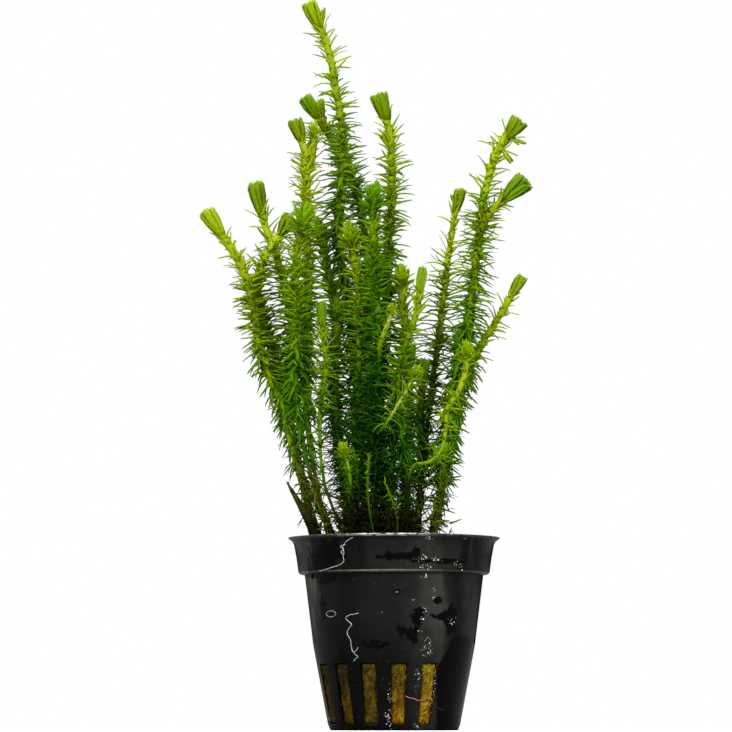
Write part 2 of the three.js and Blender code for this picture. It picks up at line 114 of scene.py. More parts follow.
# Black wet marks and painted white glints (highlights) on the pot's front, each as (x, z, half width, half
# height)
BLACK_WET = [
    (-16.4, 42.6, 4.2, 4.6), (0.8, 42.4, 4.6, 1.1), (5.2, 43.4, 1.1, 1.4), (11.5, 41.3, 7.0, 0.6),
    (5.6, 27.4, 1.6, 2.6), (4.2, 23.4, 1.2, 2.2), (1.4, 24.6, 1.4, 1.2), (-4.2, 21.2, 3.0, 1.0),
    (12.2, 28.2, 2.6, 1.2), (14.0, 27.2, 1.5, 3.4), (-16.6, 37.2, 2.4, 1.2), (10.4, 31.8, 0.9, 0.7),
    (0.6, 33.8, 0.8, 0.7),
    (-13.0, 14.0, 1.0, 8.0), (-17.6, 30.0, 0.8, 2.6),
]
GLINTS = [
    (6.8, 41.8, 1.1, 0.7), (10.2, 41.7, 1.1, 0.6), (15.6, 40.6, 0.8, 0.6), (16.7, 39.4, 0.7, 0.6),
    (7.6, 39.6, 1.3, 0.7), (7.4, 37.8, 1.0, 0.5), (8.0, 47.0, 0.9, 0.35), (17.4, 46.8, 0.4, 0.4),
    (0.7, 33.9, 0.4, 0.3), (9.6, 33.6, 0.4, 1.1), (4.6, 32.0, 0.35, 0.35), (7.4, 29.4, 0.5, 0.5),
    (6.8, 27.2, 0.5, 0.5), (14.4, 26.8, 0.9, 0.9), (-3.0, 28.8, 0.5, 0.4), (6.2, 24.4, 0.6, 0.5),
    (7.9, 20.0, 1.2, 2.0), (-1.2, 3.0, 0.9, 3.2), (-1.0, 8.6, 0.6, 2.0), (6.0, 1.0, 1.3, 0.9),
    (5.6, 12.4, 0.6, 2.4), (9.6, 12.0, 0.5, 3.0), (-16.0, 4.0, 0.3, 2.2),
]

# Threads that lie on the outside of the pot, by (x, z)
PALE_THREADS = [
    [(-10.2, 47.0), (-11.6, 46.3), (-12.2, 45.6), (-12.7, 44.6), (-12.4, 43.4), (-12.6, 42.4), (-12.4, 41.4),
     (-13.6, 40.4), (-15.4, 39.9), (-17.0, 39.4), (-18.6, 39.1)],
    [(-12.1, 45.4), (-13.3, 44.9), (-12.4, 44.3), (-13.2, 43.6), (-12.6, 43.0)],
    [(-8.8, 28.7), (-10.2, 28.4), (-10.9, 28.3), (-12.0, 27.5), (-11.3, 26.7), (-10.5, 25.9), (-11.3, 24.9),
     (-11.6, 23.7), (-10.8, 22.2), (-10.6, 20.4), (-10.1, 19.2), (-9.4, 19.6), (-8.9, 20.4)],
    [(-10.2, 19.3), (-9.4, 18.4), (-8.9, 18.0), (-9.5, 17.6), (-10.1, 16.9)],
]
THREAD_RADIUS = 0.065
# A ring of thread on the pot, as (x, z, half width, half height)
RING = (-15.6, 28.6, 1.2, 0.75)
RING_THREAD_RADIUS = 0.08
ROOT_THREAD_RADIUS = 0.08
ROOT_THREAD = [
    (2.6, 8.5), (3.6, 8.0), (4.6, 7.9), (5.4, 7.5), (6.6, 7.4), (8.6, 7.5), (9.8, 6.2), (11.0, 5.4),
    (12.3, 4.9),
]

# Every shoot by the places that its stem passes, from the foot to the tip, as the imported model has
# them. A shoot with branch_of grows from that stem, at its point nearest to the first place. What a
# shoot doesn't give has its usual value.
# Its tip: tuft is the tuft's radius and length (a radius of 0 for none), open spreads it into a
# rosette, and tip is its own tone.
# Its leaves: leaf is their length, narrow their share of the usual width, crowd the share of them
# that is there, bare the length of leafless stem above the wool or the fork, and sparse the length
# below the tuft where they stand apart (below 0 they crowd up to the tuft). smooth leaves out the
# short leaves that clothe the stem.
# Its stem: stem is the share of the usual thickness, wedge how fast it thickens towards the foot,
# pale how cream-coloured it is, and dim how dark it is near the tip.
# Its colour: tone below 0 is yellower and above 0 deeper green, deepening is how fast the leaves deepen down
# the stem, fresh keeps it young to the foot, old makes all of it brown, and below the height dark it is
# painted black as deep shade.
# Its buds are small side tufts, each by its height above the pot's foot, the way it points (degrees
# from the viewer's right, upward), its length and how many leaves it has.
ROOT_Z = PLUG_TOP_Z
SHOOTS = [
    dict(name="shoot_tallest", tuft=(2.2, 8.5), sparse=16, tone=-0.1, tip=0.04, dim=0.26,
         buds=[(176, 82, 5.8, 7), (162, 128, 4.0, 4)],
         path=[(-7, 4, ROOT_Z), (-8.5, 4, 76), (-11, 3, 104), (-14.2, 0, 125.4), (-12.6, -1, 146.7),
               (-14.6, -1, 161), (-16.8, -1, 172.2), (-21.8, -2, 183)]),
    dict(name="shoot_high_left", tuft=(2, 7.5), sparse=4, tip=0.12,
         path=[(-3.5, 8, ROOT_Z), (-6.2, 9, 78), (-6.6, 9, 118), (-9, 7, 135), (-14, 6, 146.8),
               (-17.6, 5, 152.3), (-22.6, 5, 160)]),
    dict(name="shoot_high_left_fork", branch_of="shoot_high_left", tuft=(1.1, 5.5), tone=-0.05, tip=0.03,
         path=[(-17.6, 5, 150.8), (-18, 2.5, 154.3), (-18.3, 2, 159)]),
    dict(name="shoot_left_column", bare=3, tone=-0.16, tip=0.3, pale=0.12, dim=0.2,
         path=[(-16, -5, ROOT_Z), (-18.5, -6, 57.5), (-21.2, -7, 73), (-22.2, -8, 88), (-21.3, -8, 110),
               (-22, -8, 130.5), (-22.6, -8, 145.2), (-25.8, -9, 151.8)]),
    dict(name="shoot_left_column_fork", branch_of="shoot_left_column", tuft=(1.3, 5), open=True,
         tone=-0.16, tip=0.05,
         path=[(-22, -8, 138.6), (-20.6, -5.5, 142.6), (-20.2, -4.5, 147.8), (-20.3, -4.5, 152.3)]),
    dict(name="shoot_right_column", tuft=(2.5, 8), sparse=4, tone=-0.08, tip=0.17, dim=0.25,
         buds=[(144.5, 118, 5.6, 8)],
         path=[(-1.5, -4, ROOT_Z), (-3.4, -5, 78), (-2.6, -6, 100), (-1.2, -6, 122.3), (-0.5, -6, 138.6),
               (-1.2, -6, 149.8), (-4.4, -7, 158.8)]),
    dict(name="shoot_middle_column", tuft=(3.0, 7), open=True, tone=0.12, tip=0.04,
         path=[(-5.5, -9.5, ROOT_Z), (-4.5, -12, 75), (-3.7, -13, 95), (-5.2, -13, 117.3),
               (-5.2, -13, 127.4), (-4.6, -13, 135.4)]),
    dict(name="shoot_middle_fork", branch_of="shoot_middle_column", leaf=3.4, tuft=(1.2, 3.4), sparse=-8,
         tone=-0.02, open=True, narrow=0.6, stem=0.6, smooth=True, pale=0.5,
         path=[(-3.8, -13, 92), (-3.3, -17, 95.5), (-1.6, -19, 100), (0, -19, 105)]),
    dict(name="shoot_front_middle_fork", branch_of="shoot_middle_column", leaf=4.6, tuft=(1.5, 4),
         sparse=-8, bare=5, crowd=1.3, tone=-0.06, open=True, narrow=0.6, stem=0.46, smooth=True, pale=0.5,
         path=[(-4.5, -12, 72.5), (-1.5, -18.5, 76), (2.4, -20, 82.3), (4.6, -20, 86), (6.3, -20, 89.6)]),
    dict(name="shoot_far_left", tuft=(2.3, 9), bare=3, sparse=7, tone=-0.17, tip=0.02, dim=0.24, stem=1.12,
         leaf=4.7, deepening=0.009,
         path=[(-18, -1.5, ROOT_Z), (-21.5, -3, 55), (-25, -4, 68), (-28.5, -5, 82), (-33.5, -5, 94.5),
               (-35.2, -5, 106), (-38, -5, 115.2), (-42.5, -5, 122.8), (-47.4, -5, 129.6)]),
    dict(name="shoot_left_club", tuft=(2.1, 10), bare=3, sparse=9, tone=-0.1, tip=0.14, dim=0.0,
         path=[(-14, 9, ROOT_Z), (-22, 8, 62), (-26.5, 6, 80), (-26.3, 5, 94), (-26, 5, 104),
               (-29.3, 5, 118.3), (-33, 5, 128.9), (-34, 5, 138.4)]),
    dict(name="shoot_left_bow", tuft=(2.6, 6), bare=3, tone=-0.1, tip=0.15, dim=0.0,
         path=[(-17.5, 3.5, ROOT_Z), (-22, 4, 60), (-26, 3, 78), (-28, 2, 89), (-31.8, 1, 99.5),
               (-34.4, 1, 109.6), (-33, 0, 117.3), (-29.5, -1, 122.8), (-25.8, -2, 128.6)]),
    dict(name="shoot_left_inner", tuft=(3.6, 7), open=True, bare=3, tone=0.04, dim=0.3,
         path=[(-14, -10.5, ROOT_Z), (-21, -13, 64), (-24.5, -14, 84), (-23.8, -14, 100),
               (-24.5, -14, 113.2), (-23.2, -14, 123.3), (-21.5, -14, 129.4)]),
    dict(name="shoot_front_left", tuft=(1.2, 7), tip=0.15, narrow=0.7, stem=0.7,
         path=[(-11.5, -13, ROOT_Z), (-17.5, -15.5, 62), (-18.2, -17, 80), (-16.8, -17, 89),
               (-17.5, -17, 97), (-18, -17, 105.4)]),
    dict(name="shoot_olive", tuft=(2.4, 6), open=True, tone=0.08, tip=0.1,
         path=[(-11.5, 0.5, ROOT_Z), (-13.5, -1, 70), (-15, -3, 90), (-14.3, -4, 100), (-14.2, -4, 107.6)]),
    dict(name="shoot_back_left", tuft=(2.2, 6), open=True, tone=0.1, tip=0.1,
         path=[(-9, 12.5, ROOT_Z), (-14.5, 12, 72), (-15.4, 11, 91), (-14.6, 10, 104), (-16.4, 10, 115.2),
               (-19.5, 10, 129.4)]),
    dict(name="shoot_middle_bright", tuft=(2.4, 8), open=True, sparse=8, tone=-0.06, tip=0.04, dim=0.15,
         path=[(-10.5, -4.5, ROOT_Z), (-10, -7, 72), (-8.5, -8, 98), (-9, -8, 113.2), (-10.5, -8, 120),
               (-11.3, -8, 126.8)]),
    dict(name="shoot_centre_right", tuft=(2.2, 7), open=True, tone=-0.02,
         path=[(-0.5, -10, ROOT_Z), (-0.5, -10, 66), (1, -10, 84), (3, -10, 98), (2, -9.5, 106),
               (1.8, -9, 115.8)]),
    dict(name="shoot_gap", tuft=(1.05, 8), sparse=10, tone=-0.04, tip=0.08, stem=0.8,
         path=[(4.5, -5.5, ROOT_Z), (2.8, -9, 62), (1.2, -14, 78), (1, -15.5, 86), (3, -16, 95),
               (5.2, -16, 102), (6.3, -15.5, 108), (6.4, -15, 114.4)]),
    dict(name="shoot_gap_right", tuft=(1.5, 7), sparse=10, tone=-0.2, tip=0.18, stem=0.75, pale=0.14,
         narrow=0.85, leaf=5.8, dim=0.0, crowd=0.8, buds=[(131.5, 108, 4.6, 4)],
         path=[(4.5, 8.5, ROOT_Z), (8.5, 9, 77), (11.2, 8, 98), (13.6, 7, 117.2), (15.4, 6, 129.4),
               (17.4, 6, 136.6)]),
    dict(name="shoot_high_right", tuft=(2.7, 6.5), sparse=15, tone=-0.12, tip=0.24, leaf=5.4, dim=0.06,
         crowd=1.15,
         buds=[(146, -48, 5.4, 3), (148.5, -20, 5.0, 3), (146.5, 150, 4.0, 2), (148.5, 98, 5.0, 2)],
         path=[(9, -2, ROOT_Z), (13.5, -3, 74), (18.2, -3, 99), (21, -3, 120.3), (22.8, -3, 134.5),
               (26.2, -3, 145.2), (32, -4, 152.6)]),
    dict(name="shoot_high_right_fork", branch_of="shoot_high_right", tuft=(3.1, 9), sparse=0, tone=-0.06,
         tip=0.12,
         path=[(21.8, -3, 123.6), (23.8, -6, 128.6), (27.6, -7, 132.4), (33.4, -7.5, 136.9)]),
    dict(name="shoot_right_inner", tuft=(1.6, 6), open=True, tone=0.05, tip=0.1, crowd=0.6,
         path=[(9, 8, ROOT_Z), (13, 8, 66), (15.4, 7, 86), (16.4, 6, 101)]),
    dict(name="shoot_far_right", tuft=(1.5, 6.5), sparse=14, tone=-0.12, tip=0.16, leaf=4.4, stem=0.9,
         dim=0.15,
         path=[(10, 3, ROOT_Z), (13.8, 3.5, 71), (18, 3, 87), (21.7, 3, 96), (27, 2, 104.6),
               (32.5, 2, 114)]),
    dict(name="shoot_front_right", leaf=4.6, tuft=(1.8, 5), open=True, sparse=4, tone=-0.06, narrow=0.55,
         stem=0.75, crowd=0.55, dim=0.2, deepening=0.007, dark=66, fresh=True, smooth=True,
         path=[(4, -14.5, ROOT_Z), (3.2, -17, 57), (4.7, -18, 64.8), (9, -18.5, 66), (11.6, -18, 69),
               (12.7, -17, 75), (13.2, -15, 79.5), (15.6, -13, 83), (17.6, -12, 88.5), (17.9, -11.5, 96.4)]),
    dict(name="shoot_low_right", leaf=4, tuft=(1.8, 5), open=True, tone=0.12, narrow=0.85, stem=0.5,
         dim=0.6, crowd=1.7,
         path=[(9.5, -8.5, ROOT_Z), (11.4, -8.5, 53.5), (12.4, -8.5, 61), (12.2, -8.5, 66), (13.2, -9, 71)]),
    dict(name="shoot_small_bright", leaf=4.4, tuft=(1.5, 3.8), sparse=0, tone=-0.07, tip=-0.02, open=True,
         narrow=0.5, stem=0.75, dark=60, fresh=True, deepening=0.034,
         path=[(-10.5, -17, ROOT_Z), (-11.4, -19, 54), (-10.9, -20.5, 62), (-11.9, -20.5, 66.6),
               (-13.1, -20.5, 70.6)]),
    dict(name="shoot_small_beside", leaf=2.6, tuft=(0, 2), tone=0.12, tip=0.1, narrow=0.7, stem=0.5,
         dark=64,
         path=[(-7.5, -14, ROOT_Z), (-9.4, -15, 57), (-9.2, -15.5, 64), (-10.5, -15.5, 70.3)]),
    dict(name="shoot_bare_middle", leaf=2, tuft=(0, 1), bare=12, sparse=8, tone=0.08, tip=0.3, stem=0.45,
         dark=52, fresh=True, dim=0.6,
         path=[(-4.5, -17.5, ROOT_Z), (-6.1, -18.5, 53.5), (-6.6, -19, 61), (-6, -19, 68.4)]),
    dict(name="shoot_bare_right", leaf=2, tuft=(0, 1), bare=10, sparse=8, tone=0.05, tip=0.3, stem=0.4,
         dark=52, fresh=True, dim=0.5,
         path=[(0.6, -17.5, ROOT_Z), (0.6, -17.5, 52), (-0.8, -18.5, 56.9), (-2.7, -18.5, 61.5)]),
    dict(name="old_stem", leaf=2.4, tuft=(0, 1), bare=8, sparse=6, tone=0.3, old=0.8, wedge=0.075,
         dark=56.5,
         path=[(-18.5, -8.5, ROOT_Z), (-20.5, -9, 50.5), (-23.5, -9, 56), (-27, -9, 62)]),
    dict(name="shoot_back_middle", tone=0.02,
         path=[(2.2, 14.5, ROOT_Z), (3.2, 16, 64), (4, 17, 80), (4, 17, 98)]),
    dict(name="shoot_back_right", tone=0.05, leaf=6.2,
         path=[(6.4, 2.5, ROOT_Z), (6.6, 2, 60), (6.8, 1.5, 76), (7.2, 1.5, 93)]),
]

# Stems, which stand in the wool by the length SUNK
SUNK = 7.0
STEM_FOOT_RADIUS = 0.85
STEM_TIP_RADIUS = 0.92
STEM_TAPER_LENGTH = 60.0
STEM_SIDES = 10
STEM_STEP = 0.9
STEM_WAVER = 0.03
# A stem is thinner at its foot: from which height up, over what length, and its least share
FOOT_THIN_FROM = 40.0
FOOT_THIN_OVER = 45.0
FOOT_THINNEST = 0.55
# A wedge-shaped stem's radius at its tip, and how much it wavers
WEDGE_TIP_RADIUS = 0.25
WEDGE_WAVER = 0.08
# The radius of the last rings below the tip, as shares of the usual one
STEM_END = (0.95, 0.85, 0.7, 0.4)
# How dark the stem's skin is near the tip, and the distances from the tip over which it brightens
STEM_DIM = 0.36
DIM_TO = 42.0
DIM_OVER = 20.0
# How cream-coloured a stem is at least, and the distances from the tip over which it fades
LEAST_PALE = 0.02
PALE_TO = 45.0
PALE_OVER = 20.0
# The start of a side shoot is green: up to this distance, and over what length it turns pale
FORK_GREEN_TO = 7.0
FORK_GREEN_OVER = 3.0

# Leaves
LEAF_LENGTH = 5.2
LEAF_WIDTH = 1.35
LEAF_THICKNESS = 0.2
LEAF_FOLD = 0.35
LEAVES_PER_MM = 7.2
SPARSE_LEAVES_PER_MM = 3.1
COUNTING_STEP = 0.05
BARE_FOOT = 4.0
BARE_FORK = 1.0
# The stretches over which the leaves crowd together, below the sparse ones and above the foot
CROWDED_OVER = 12.0
ROOTED_OVER = 14.0
ROOTED_LEAST = 0.45
# The stretch below the tuft where the leaves are young: shorter and more upright
YOUNG_OVER = 14.0
# Degrees by which a leaf rises near the tip, falls per millimetre below it, and hangs at most
RISE_AT_TIP = 32.0
FALL_PER_MM = 1.0
LOWEST_RISE = -58.0
# How leaves vary: the spread of their shares of length and width, and of their angles in degrees
LENGTH_SPREAD = 0.12
WIDTH_SPREAD = 0.15
TURN_SPREAD = 0.25
BEND = -24.0
BEND_SPREAD = 26.0
ROLL_SPREAD = 18.0
# A blade's width at stations along it, as (share of the length, share of the width)
LEAF_SHAPE = np.array([(0.0, 0.95), (0.2, 0.72), (0.5, 0.54), (0.82, 0.36)])
# The short leaves that clothe the stem: (how many per mm, shortest, longest, lowest and highest
# rise in degrees, how much deeper their green is, shape)
SCALE_SHAPE = np.array([(0.0, 1.0), (0.6, 0.7)])
SHORT_SHAPE = np.array([(0.0, 0.9), (0.35, 0.8), (0.75, 0.45)])
SHORT_LEAVES = [
    (2.2, 0.7, 1.5, 40, 75, 0.0, SCALE_SHAPE),
    (3.0, 1.6, 3.0, 10, 75, 0.04, SHORT_SHAPE),
]

# Changes down the plant, each by the height where it starts and the length that it takes
# Painted shade: the leaves low in the bundle are painted a deeper green
SHADED_DEEPER_GREEN = (108, 50)
BROWN_LEAF = (62, 17)
BROWN_STEM = (62, 11)
# Painted shade: the stems are painted black near their feet
SHADED_STEM_FOOT = (60, 8)
FULL_INSIDE = (92, 24)
FINE_INSIDE = (98, 25)
FINE_LEAVED = (78, 12)
THIN_LOW_RIGHT = (66, 8)
# The length over which a shoot's painted deep shade turns fully black below its height dark
BLACK_OVER = 5
# How much higher the leaves and the stems turn brown at the sides
BROWN_ASIDE = 19
BROWN_STEM_ASIDE = 6
# Changes towards the sides, each by its middle x, how far from there it starts, and its length
# Painted shade: the deeper green painted on low leaves lessens towards the sides
LESS_SHADED = (-4, 0, 22)
BROWNER = (-2, 8, 10)
THINNER = (-1, 8, 8)
# What is inside the bundle of shoots, by its middle x, where that ends, and its soft border's width
BUNDLE_MIDDLE = -1
INSIDE_TO = 17
INSIDE_OVER = 6
# Changes at the sides, as values on the viewer's right and left: leaves are left out, droop (and are
# shorter and broader) below a height, and hang down above another
THIN_BELOW = (80, 93)
THIN_OVER = 24
LEFT_OUT = (0.84, 0.76)
DROOP_BELOW = (98, 104)
DROOP_OVER = 20
DROOP_SHORTER = (0.35, 0.05)
DROOP_BROADER = (0.3, 0)
HANG_ABOVE = (64, 80)
HANG_OVER = 8
HANG_SHARE = (1, 0.6)
BROWN_SHARE = (0.85, 1.0)

# Tufts: their usual size, how many leaves they have when closed and open, the leaves' shape, the
# degrees by which the lowest leaves of a closed tuft bend, and how green a tuft is
TUFT_RADIUS = 1.9
TUFT_LENGTH = 7.0
TUFT_LEAVES = 84
TUFT_SHAPE = np.array([(0.0, 0.55), (0.3, 0.85), (0.62, 1.0), (0.9, 0.75)])
TUFT_BULGE = 24.0
TUFT_STAGE = 0.22
OPEN_TUFT_LEAVES = 64

# The usual values of a shoot, besides BARE_FOOT, BARE_FORK, STEM_DIM and LEAST_PALE above
USUAL_SHOOT = dict(
    tuft=(TUFT_RADIUS, TUFT_LENGTH), open=False, tip=0, buds=[], leaf=LEAF_LENGTH, narrow=1, crowd=1,
    sparse=2, smooth=False, stem=1, tone=0, deepening=0.0076, fresh=False, old=0, dark=0,
)

# The dead leaves at the foot of the plant, each clump as (x, y, half width, half depth, height, count, how
# black: partly the dead leaves' own colour and partly painted deep shade), and how far inside the wall's top
# they stay
LITTER = [
    (-4, -9, 9, 9, 8, 560, 1.0), (-2, -3, 5.5, 9, 9, 330, 1.0), (9, -9, 5, 7, 13, 60, 0.0),
    (-12, -4, 5, 8, 8, 80, 0.5), (-4, 8, 7, 8, 8, 170, 1.0), (10.5, -4, 2.5, 5, 11, 24, 0.0),
]
LITTER_MARGIN = 3.5

# The wool's mesh, and its loose fibres behind the slots and on its top
WOOL_SIDES = 280
WOOL_ROW = 0.4
WOOL_TOP_RINGS = (0.97, 0.85, 0.7, 0.5, 0.3, 0.12)
SLOT_FIBRES = 1150
TOP_FIBRES = 350
FIBRE_RINGS = 6
FIBRE_SIDES = 3

# The threads' mesh
THREAD_SIDES = 6
THREAD_STEP = 0.25
RING_POINTS = 17
# The pot's mesh: the degrees between its edges, the outside's point beside which the inside starts,
# the angle past which an edge is sharp, and the bevel there
POT_TURN_STEP = 2.2
FIRST_INSIDE = 2
SHARP_EDGE = math.radians(35)
BEVEL = 0.14

# Seeds of the random draws. Each shoot's seed is its place in the list.
THREAD_SEED = 17
WOOL_SEED = 5
FIBRE_SEED = 23
LITTER_SEED = 31

# Colours, in linear light. A list has (place on a scale from 0 to 1, colour).
GREENS = [
    (0.0, (0.58, 0.68, 0.010)),
    (0.2, (0.37, 0.53, 0.002)),
    (0.42, (0.185, 0.405, 0.001)),
    (0.62, (0.066, 0.270, 0.0005)),
    (0.82, (0.015, 0.135, 0.0005)),
    (1.0, (0.004, 0.055, 0.0005)),
]
BROWNS = [(0.3, (0.075, 0.062, 0.004)), (0.7, (0.220, 0.205, 0.016))]
BROWN_STEM_TINT = (0.5, 0.45, 0.4, 1)
LEAF_SPECKLE = (0.015, 0.055, 0.001, 1)
LEAF_TIP = (0.045, 0.080, 0.004, 1)
PALE_STEM = (0.66, 0.62, 0.20, 1)
# Painted deep shade at the shoots' feet and in the litter; black also darkens stems near their tips and
# tufts
BLACK_AND_DEEP_SHADE = (0.002, 0.0018, 0.001, 1)
GLOW_TINT = (1.0, 1.0, 0.3, 1)
GLOW_SHARE = 0.55
WOOLS = [
    (0.0, (0.012, 0.008, 0.0005)),
    (0.35, (0.055, 0.034, 0.0005)),
    (0.6, (0.145, 0.085, 0.0005)),
    (0.85, (0.27, 0.16, 0.003)),
    (1.0, (0.52, 0.38, 0.07)),
]
WOOL_LOW_TINT = (1.12, 0.98, 0.75, 1)
WOOL_HIGH_TINT = (0.84, 0.97, 0.75, 1)
POT_BACK = (0.009, 0.009, 0.008, 1)
# Painted shade on the pot's right side
POT_SHADED_SIDE = (0.0012, 0.0006, 0.0005, 1)
POT_WET = (0.0008, 0.0008, 0.0007, 1)
# Painted highlights on the lip and along the band's foot, painted white glints, and rarer specks
LIP_HIGHLIGHT = (0.95, 0.86, 0.80, 1)
BEAD_HIGHLIGHT = (0.34, 0.32, 0.24, 1)
GLINT_WHITE = (0.95, 0.93, 0.88, 1)
SPECK_GREY = (0.5, 0.5, 0.45, 1)
PALE_THREAD = (0.52, 0.62, 0.70)
DULL_THREAD = (0.30, 0.34, 0.30)
ROOTS = [(0.0, (0.50, 0.19, 0.08)), (1.0, (0.03, 0.014, 0.006))]
# The specular level of what mirrors little, and the usual one
DULL = 0.1
USUAL = 0.5


def link(name, data):
    """An object for the data, in the scene."""
    made = bpy.data.objects.new(name, data)
    bpy.context.scene.collection.objects.link(made)
    return made


def add_camera():
    data = bpy.data.cameras.new("camera")
    data.sensor_width = SENSOR_WIDTH
    data.lens = SENSOR_WIDTH * PIXELS_PER_MM * CAMERA_DISTANCE / PHOTO_PIXELS
    data.clip_end = CLIP_END
    camera = link("camera", data)
    camera.location = (CAMERA_X * MM, -CAMERA_DISTANCE * MM, CAMERA_Z * MM)
    tilt = math.atan2(AIM_Z - CAMERA_Z, CAMERA_DISTANCE)
    camera.rotation_euler = (math.pi / 2 + tilt, 0, 0)
    bpy.context.scene.camera = camera


add_camera()


# Materials

class Nodes:
    """The node tree of a material or of the world, built a node at a time."""

    def __init__(self, owner):
        self.owner = owner
        owner.use_nodes = True
        self.tree = owner.node_tree
        self.tree.nodes.clear()

    def add(self, kind, inputs=None, **settings):
        node = self.tree.nodes.new(kind)
        for key, value in settings.items():
            setattr(node, key, value)
        for key, value in (inputs or {}).items():
            if isinstance(value, bpy.types.NodeSocket):
                self.tree.links.new(value, node.inputs[key])
            else:
                node.inputs[key].default_value = value
        return node

    def ramp(self, factor, stops):
        node = self.add("ShaderNodeValToRGB", {"Fac": factor})
        elements = node.color_ramp.elements
        while len(elements) < len(stops):
            elements.new(0.5)
        for element, (place, colour) in zip(elements, stops):
            element.position = place
            element.color = (*colour, 1)
        return node.outputs["Color"]

    def attribute(self, name):
        return self.add("ShaderNodeAttribute", attribute_name=name).outputs["Fac"]

    def place(self, kind="Object"):
        return self.add("ShaderNodeTexCoord").outputs[kind]

    def split(self, vector):
        return self.add("ShaderNodeSeparateXYZ", {"Vector": vector}).outputs

    def noise(self, scale, detail=3.0, roughness=0.55, vector=None):
        inputs = {"Scale": scale, "Detail": detail, "Roughness": roughness, "Vector": vector or self.place()}
        return self.add("ShaderNodeTexNoise", inputs).outputs["Fac"]

    def drawn(self, scales, detail, roughness=0.6):
        """Noise with its own scale along each axis."""
        stretched = self.add("ShaderNodeMapping", {"Vector": self.place(), "Scale": scales})
        return self.noise(1.0, detail, roughness, stretched.outputs["Vector"])

    def maths(self, operation, a, b=0.0, clamp=False):
        return self.add("ShaderNodeMath", {0: a, 1: b}, operation=operation, use_clamp=clamp).outputs[0]

    def total(self, first, *others):
        for other in others:
            first = self.maths("ADD", first, other)
        return first

    def product(self, first, *others):
        for other in others:
            first = self.maths("MULTIPLY", first, other)
        return first

    def apart(self, value, other):
        """How far a value is from another, without its sign."""
        return self.maths("ABSOLUTE", self.maths("SUBTRACT", value, other))

    def span(self, value, low, high, to_low=0.0, to_high=1.0, **settings):
        inputs = {"Value": value, "From Min": low, "From Max": high, "To Min": to_low, "To Max": to_high}
        return self.add("ShaderNodeMapRange", inputs, **settings).outputs["Result"]

    def mix(self, factor, a, b, blend="MIX"):
        inputs = {0: factor, 6: a, 7: b}
        return self.add("ShaderNodeMix", inputs, data_type="RGBA", blend_type=blend).outputs[2]

    def tinted(self, colour, tint):
        return self.mix(1.0, colour, tint, "MULTIPLY")

    def bump(self, height, distance, strength):
        inputs = {"Height": height, "Distance": distance, "Strength": strength}
        return self.add("ShaderNodeBump", inputs).outputs["Normal"]

    def skin(self, colour, roughness, specular=USUAL, **inputs):
        inputs |= {"Base Color": colour, "Roughness": roughness, "Specular IOR Level": specular}
        return self.add("ShaderNodeBsdfPrincipled", inputs).outputs[0]

    def finish(self, shader, kind="ShaderNodeOutputMaterial"):
        self.add(kind, {"Surface": shader})
        return self.owner


def leaf_material():
    """Living leaf: stage runs from young yellow-green to deep green, and old turns it brown."""
    n = Nodes(bpy.data.materials.new("leaf"))
    along = n.attribute("along")
    blade = n.attribute("blade")
    mottles = n.span(n.noise(160.0, 2.0), 0.3, 0.7, -0.06, 0.06)
    green = n.ramp(n.total(n.attribute("stage"), mottles, n.span(along, 0.0, 0.5, -0.06, 0.03)), GREENS)
    patchy = n.span(n.noise(420.0), 0.3, 0.7, 0.7, 1.2)
    worn = n.maths("MULTIPLY", n.attribute("old"), patchy, clamp=True)
    brown = n.ramp(n.noise(700.0, 2.0), BROWNS)
    brown = n.mix(blade, n.tinted(brown, BROWN_STEM_TINT), brown)
    colour = n.mix(worn, green, brown)
    speckled = n.mix(n.span(n.noise(1100.0), 0.45, 0.75, 0.0, 0.15), colour, LEAF_SPECKLE)
    tipped = n.mix(n.span(along, 0.45, 1.0, 0.0, 0.45), speckled, LEAF_TIP)
    stem = n.mix(n.attribute("pale"), colour, PALE_STEM)
    # black mixes in painted deep shade, and also darkens the stems near their tips and the tufts
    shown = n.mix(n.product(n.attribute("black"), 0.94), n.mix(blade, stem, tipped), BLACK_AND_DEEP_SHADE)
    skin = n.skin(shown, n.span(n.noise(500.0), 0.3, 0.7, 0.36, 0.55), DULL)
    glow = n.add("ShaderNodeBsdfTranslucent", {"Color": n.tinted(shown, GLOW_TINT)}).outputs[0]
    return n.finish(n.add("ShaderNodeMixShader", {0: GLOW_SHARE, 1: skin, 2: glow}).outputs[0])


